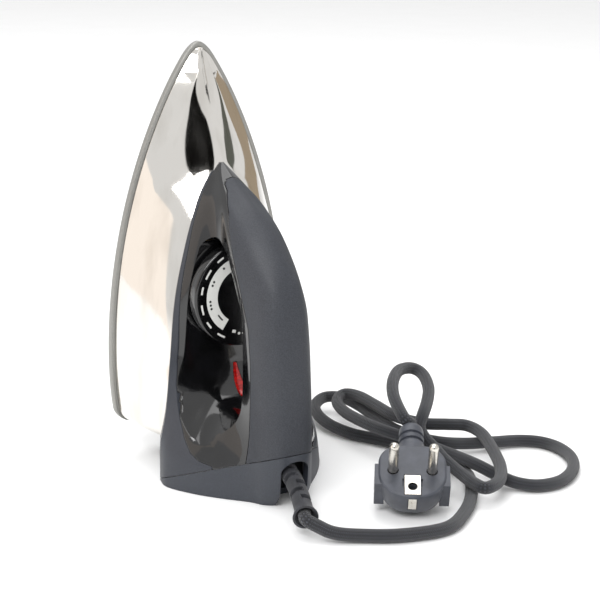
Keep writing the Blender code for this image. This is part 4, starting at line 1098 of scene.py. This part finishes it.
@dataclass
class Plug:
    """Angled earthed plug with two round pins, guide ribs and a ribbed neck."""

    centre: Tuple[float, float, float] = (46.5, 142.3, 22.6)
    turn: float = -33.0
    lean: float = 26.2
    half: float = 16.6 * MM
    deep: float = 21.5 * MM
    pin_radius: float = 2.4 * MM
    pin_length: float = 19 * MM
    spacing: float = 19 * MM
    earth: float = 10 * MM
    neck: Tuple[float, float] = (17.5 * MM, 8 * MM)
    plate: Tuple[float, float, float] = (7.7 * MM, 12.0 * MM, 1.2 * MM)

    def axes(self) -> Matrix:
        """Returns the plug's axes: along the pins' line, towards the cord, out of the face."""
        return (Matrix.Rotation(math.radians(self.turn), 3, "Z")
                @ Matrix.Rotation(math.radians(self.lean), 3, "X"))

    def spot(self, u: float, v: float, w: float) -> Vector:
        """Returns a place given in the plug's own axes."""
        return at(*(value * MM for value in self.centre)) + self.axes() @ Vector((u, v, w))

    def neck_end(self) -> Tuple[Vector, Vector]:
        """Returns the end of the neck and the way the cord leaves it."""
        return self.spot(0, self.half + self.neck[0], -self.neck[1]), self.axes() @ Vector((0, 1, 0))

    def section(self, w: float, half: float, near: float, far: float, near_corner: float,
                far_corner: float) -> Ring:
        """Returns a rounded outline across the plug at a depth, front corners first."""
        corners = [(half, near, near_corner), (half, far, far_corner), (-half, far, far_corner),
                   (-half, near, near_corner)]
        return [self.spot(u, v, w) for u, v in rounded(corners, 12)]

    def block(self, name: str, place: Tuple[float, float, float],
              size: Tuple[float, float, float]) -> bpy.types.Object:
        """Returns a box in the plug's own axes."""
        return box(name, Matrix.Translation(self.spot(*place)) @ self.axes().to_4x4(), size)

    def stalk(self) -> bpy.types.Object:
        """Returns the ribbed neck, wider where it leaves the plug."""
        length, depth = self.neck
        end = 8 * MM + length
        profile = [(0, 7.6 * MM), (8.0 * MM, 7.5 * MM), (9.5 * MM, 7.1 * MM), (11 * MM, 6.6 * MM)]
        for k in range(2):
            start = end - (11.5 - 4 * k) * MM
            profile += [(start, 6.4 * MM), (start + 0.2 * MM, 5.2 * MM),
                        (start + 1.8 * MM, 5.2 * MM), (start + 2 * MM, 6.3 * MM)]
        profile += [(end - 2.2 * MM, 6.25 * MM), (end - 0.9 * MM, 5.9 * MM), (end, 5.3 * MM)]
        return lathe("plug_neck", self.spot(0, self.half - 8 * MM, -depth),
                     self.axes() @ Vector((0, 1, 0)), profile, 40, True)

    def build(self, finishes: Finishes) -> List[bpy.types.Object]:
        """Builds and dresses the plug. Returns its pieces."""
        h, deep = self.half, self.deep
        levels = ((-deep, 7.0, 10.0, 1.5, 7, 4), (-deep + 0.8 * MM, 5.6, 8.4, 0.8, 8.5, 5),
                  (-deep + 3 * MM, 4.0, 5.5, 0, 10.5, 6), (-deep + 6 * MM, 2.4, 3.1, -0.6, 12, 7.5),
                  (-deep + 9 * MM, 1.2, 1.4, -1.0, 13.5, 9), (-deep + 13 * MM, 0.5, 0.6, -0.6, 14.3, 10),
                  (-1.2 * MM, 0, 0, 0, 15, 11), (-0.5 * MM, 0.2, 0.2, 0.2, 14.8, 10.8),
                  (0, 0.9, 0.9, 0.9, 14.1, 10.1))
        rings = [self.section(w, h - a * MM, -h + b * MM, h - c * MM, near * MM, far * MM)
                 for w, a, b, c, near, far in levels]
        body = loft("plug_moulding", rings, split=True)
        out = self.axes() @ Vector((0, 0, 1))
        neck = self.stalk()
        ribs = [self.block("plug_rib", (s * (h - 0.6 * MM), -2 * MM, -8.4 * MM),
                           (4.8 * MM, 13 * MM, 15 * MM)) for s in (-1, 1)]
        room, (wide, tall, thick) = 2 * GAP, self.plate
        hole = lathe("plug_earth_hole", self.spot(0, -self.earth, -9 * MM), out,
                     [(0, 2.4 * MM), (12 * MM, 2.4 * MM)], 32, True)
        pocket = self.block("plug_earth_pocket", (0, MM - self.earth, 0),
                            (wide + room, tall + room, 2 * thick + room))
        ears = self.block("plug_earth_ears", (0, MM - self.earth + 1.4 * MM, 0),
                          (wide + 2.2 * MM, 5.0 * MM, 2 * thick))
        seats = [lathe("plug_seat", self.spot(s * self.spacing / 2, 0, -6 * MM), out,
                       [(0, self.pin_radius + GAP), (9 * MM, self.pin_radius + GAP)], 32, True)
                 for s in (-1, 1)]
        channel = self.block("plug_earth_channel", (0, -h, -6.2 * MM),
                             (3.9 * MM + room, 3.4 * MM, 9 * MM))
        cut(body, [(neck, "UNION")] + [(rib, "UNION") for rib in ribs]
            + [(tool, "DIFFERENCE") for tool in (hole, pocket, ears, *seats, channel)])
        discard(neck, *ribs, hole, pocket, ears, *seats, channel)
        soften(body, 34)
        made = [finish_piece(body, finishes["plug"], Body.IRON, ["plug_body"])]
        for side, name in ((-1, "left"), (1, "right")):
            length, r = 5.6 * MM + self.pin_length, self.pin_radius
            tip = [(length - r * (1 - math.sin(a)), r * max(math.cos(a), 0.25))
                   for a in (math.pi / 2 * k / 7 for k in range(8))]
            pin = lathe(f"plug_pin_{name}_turned", self.spot(side * self.spacing / 2, 0, -5.6 * MM),
                        out, [(0, r), (length / 2, r)] + tip, 32)
            soften(pin, 35)
            made.append(finish_piece(pin, finishes["nickel"], Body.IRON, [f"plug_pin_{name}"]))
        return made


@dataclass
class Cord:
    """Braided cord from the strain relief to the plug, lying in loops."""

    relief: StrainRelief
    plug: Plug
    diameter: float = 6.4 * MM
    route: Tuple[Tuple[float, float, float], ...] = (
        (-9.5, 145.5, 7.2), (-3.5, 151.5, 4.6), (8, 158, 3.5), (25, 166.5, 3.4), (48, 170, 3.3),
        (67, 159, 3.3), (82.5, 143.5, 3.3), (94, 126, 3.3), (96.7, 112.7, 3.3), (95.5, 98.3, 3.3),
        (92.5, 84.1, 3.3), (87.8, 72, 3.3), (81, 60, 3.3), (72.5, 48, 3.6), (67.5, 34, 4.6),
        (67.5, 20, 5.8), (72.5, 8, 7), (82, 2.5, 8.4), (89, 10, 9.6), (90, 27.2, 10.2),
        (88, 47.5, 10.2), (87.5, 67, 10.2), (92, 82.5, 10), (101, 90.5, 8.4), (115.4, 93.5, 6),
        (133, 95.5, 4.2), (148, 99, 3.5), (157.5, 106, 3.3), (161, 117, 3.3), (158, 131, 3.3),
        (148, 144, 3.3), (133, 152.5, 3.3), (119, 152, 3.4), (110, 145, 4), (104, 136, 6.2),
        (98.5, 126, 9.2), (94, 112, 10.2), (89.5, 98, 10.8), (82.4, 86, 12.8), (75, 74, 14.4),
        (71.5, 59, 14.8), (71.5, 41, 14.4), (75.5, 26.5, 15), (83, 22, 16.6), (87, 31, 17.6),
        (87.5, 48, 17.6), (88.5, 66, 17.2), (96, 80, 16.6), (108.5, 85.5, 15.6),
        (118.5, 90, 14.6), (120.5, 101, 13.4), (115, 117.6, 11.6), (106, 136, 10.6),
        (95, 149.4, 10.2), (83.9, 153.6, 10), (81.4, 147.2, 10.2), (81.1, 138.4, 11.2),
        (80.4, 129.8, 13), (79.2, 122.6, 15.5), (77.9, 116.4, 19), (75, 112.1, 23.5),
        (73.9, 108.5, 28.5), (77.7, 105.8, 33.5), (85.3, 98.7, 37.5), (91.6, 90.6, 41),
        (95.4, 80.8, 44), (94.3, 74.9, 46), (89.7, 73, 47), (82.2, 75.4, 47), (73, 84.4, 45.5),
        (66.9, 94.1, 42.5), (63.9, 103.4, 39), (63.2, 110.4, 35.5))

    def line(self) -> List[Vector]:
        """Returns the centreline, from the relief's mouth to the plug's neck."""
        start, ahead = self.relief.exit()
        tip, axis = self.plug.neck_end()
        end = tip + axis * GAP
        points = [start, start + ahead * 6 * MM]
        rest = self.diameter / 2 + 0.1 * MM
        points += [at(x * MM, level * MM, max(z * MM, rest)) for x, level, z in self.route]
        return evenly(through(points + [end + axis * 3.6 * MM, end], 10), 1.2 * MM)

    def build(self, finishes: Finishes, pieces: Sequence[Any]) -> None:
        """Args:
            finishes: the finishes.
            pieces: what is on the cord's far end; not used.
        """
        line = self.line()
        cord = soften(tube("cord_braided", line, lambda s, a: self.diameter / 2, 24), 60)
        finish_piece(cord, finishes["braid"], Body.IRON, ["cord"])


# ------------------------------------------------------------------ hidden pieces


@dataclass
class Inside:
    """The CAD pieces that stay as they are, each with its own finish."""

    looks: Dict[str, Tuple[str, ...]] = field(default_factory=lambda: {
        "sheath": ("heating_element",),
        "nickel": ("element_terminal_left", "element_terminal_right", "plug_earth_clip",
                   "plug_earth_plate"),
        "zinc": ("stud_front", "stud_rear", "nut_front", "nut_rear", "terminal_screw_1",
                 "terminal_screw_2", "terminal_screw_3", "clamp_screw_left", "clamp_screw_right",
                 "heel_screw", "thermostat_bracket"),
        "enamel": ("pressure_plate",),
        "ceramic": ("thermostat_stack", "thermostat_spacer", "terminal_block"),
        "bimetal": ("bimetal_strip",), "copper": ("contact_blade", "contact_rivet"),
        "brass": ("dial_spindle",), "lamp": ("neon_lamp",), "clamp": ("cord_clamp",),
        "brown": ("wire_live",), "blue": ("wire_neutral",), "green": ("wire_earth",)})

    def build(self, finishes: Finishes) -> None:
        """Gives each kept CAD node its finish."""
        for key, names in self.looks.items():
            for name in names:
                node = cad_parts[name]
                node.data.materials.clear()
                node.data.materials.append(finishes[key])
                LOG.info("%s: kept, %s", name, finishes[key].name)


# ------------------------------------------------------------------ studio


@dataclass
class Card:
    """A studio card that only reflections see."""

    name: str
    centre: Tuple[float, float, float]
    size: Tuple[float, float]
    colour: str
    strength: float

    def build(self) -> None:
        """Stands the card up, facing the iron."""
        aim = (Vector((0, 0, 0.1)) - Vector(self.centre)).normalized()
        side = side_of(aim)
        up = side.cross(aim)
        bm = bmesh.new()
        w, h = self.size
        corners = [Vector(self.centre) + side * x * w / 2 + up * y * h / 2
                   for x, y in ((-1, -1), (1, -1), (1, 1), (-1, 1))]
        bm.faces.new([bm.verts.new(p) for p in corners])
        mesh = bpy.data.meshes.new(self.name)
        bm.to_mesh(mesh)
        bm.free()
        card = link(self.name, mesh)
        g = Graph(self.name + "_paper")
        g.set(Base_Color=(0, 0, 0, 1), Roughness=1.0, Specular_IOR_Level=0.0,
              Emission_Color=linear(self.colour), Emission_Strength=self.strength)
        mesh.materials.append(g.material)
        card.visible_camera = card.visible_diffuse = card.visible_shadow = False
        card.visible_transmission = False


@dataclass
class Studio:
    """Pale floor, soft lights, reflection cards and the camera."""

    lens_mm: float = 88.96
    place: Tuple[float, float, float] = (-0.3444, -0.6322, 0.3080)
    azimuth: float = -30.84
    elevation: float = 16.64
    roll: float = 1.02
    cards: Tuple[Card, ...] = (
        Card("card_room", (-0.80, -1.25, 0.62), (0.80, 1.10), "#0c0b0a", 1.0),
        Card("card_left", (-1.30, 0.35, 0.45), (1.20, 1.20), "#fff6ee", 1.25),
        Card("card_right_grey", (0.85, -0.10, 0.16), (0.34, 0.44), "#6f716a", 0.8),
        Card("card_right_beige", (0.80, 0.36, 0.12), (0.26, 0.36), "#b3a48f", 0.9),
    )

    def camera(self) -> None:
        """Places the camera."""
        a, e, r = (math.radians(v) for v in (self.azimuth, self.elevation, self.roll))
        ahead = Vector((-math.sin(a) * math.cos(e), math.cos(a) * math.cos(e), -math.sin(e)))
        right = Vector((math.cos(a), math.sin(a), 0))
        up = right.cross(ahead)
        x = math.cos(r) * right + math.sin(r) * up
        y = -math.sin(r) * right + math.cos(r) * up
        data = bpy.data.cameras.new("camera")
        data.lens, data.sensor_width = self.lens_mm, 36
        data.clip_start, data.clip_end = 0.01, 60
        camera = bpy.data.objects.new("camera", data)
        turn = Matrix((x, y, -ahead)).transposed().to_4x4()
        camera.matrix_world = Matrix.Translation(self.place) @ turn
        bpy.context.scene.collection.objects.link(camera)
        bpy.context.scene.camera = camera

    def floor(self) -> None:
        """Lays a plain pale floor."""
        bm = bmesh.new()
        bmesh.ops.create_grid(bm, x_segments=1, y_segments=1, size=12)
        floor = solid("floor", bm)
        g = Graph("floor_white_laminate")
        cloud = g.noise(60.0, 2.0)
        g.set(Base_Color=g.mix(cloud, "#f6f6f6", "#fafafa"), Roughness=0.6,
              Specular_IOR_Level=0.25)
        floor.data.materials.append(g.material)
        floor.location.z = -0.0002

    def lights(self) -> None:
        """Hangs the soft lights and sets the white surround."""
        world = bpy.data.worlds.new("surround")
        world.use_nodes = True
        world.node_tree.nodes["Background"].inputs[0].default_value = (1, 1, 1, 1)
        world.node_tree.nodes["Background"].inputs[1].default_value = 0.86
        bpy.context.scene.world = world
        for name, place, size, power in (("key", (-1.1, -0.9, 1.7), 1.1, 26.0),
                                         ("top", (0.1, 0.5, 1.8), 1.6, 16.0)):
            data = bpy.data.lights.new(name, "AREA")
            data.size, data.energy = size, power
            light = bpy.data.objects.new(name, data)
            light.location = place
            aim = Vector((0, 0, 0.08)) - Vector(place)
            light.rotation_euler = aim.to_track_quat("-Z", "Y").to_euler()
            bpy.context.scene.collection.objects.link(light)
        view = bpy.context.scene.view_settings
        view.view_transform, view.look, view.exposure = "Standard", "None", 0.0

    def build(self) -> None:
        """Sets up the studio."""
        self.camera()
        self.floor()
        for card in self.cards:
            card.build()
        self.lights()


def main() -> None:
    """Builds every piece in order."""
    logging.basicConfig(level=logging.INFO, format="%(message)s")
    finishes = Finishes()
    Studio().build()
    relief, plug = StrainRelief(), Plug()
    relief.build(finishes)
    on_cord = plug.build(finishes)
    Cord(relief, plug).build(finishes, on_cord + ["plug_earth_clip", "plug_earth_plate",
                                                  "relief_sleeve"])
    sole = Soleplate()
    sole.build(finishes)
    cover = Cover(sole)
    cover.build(finishes)
    Handle(cover).build(finishes)
    Dial().build(finishes)
    Inside().build(finishes)


if __name__ == "__main__":
    main()
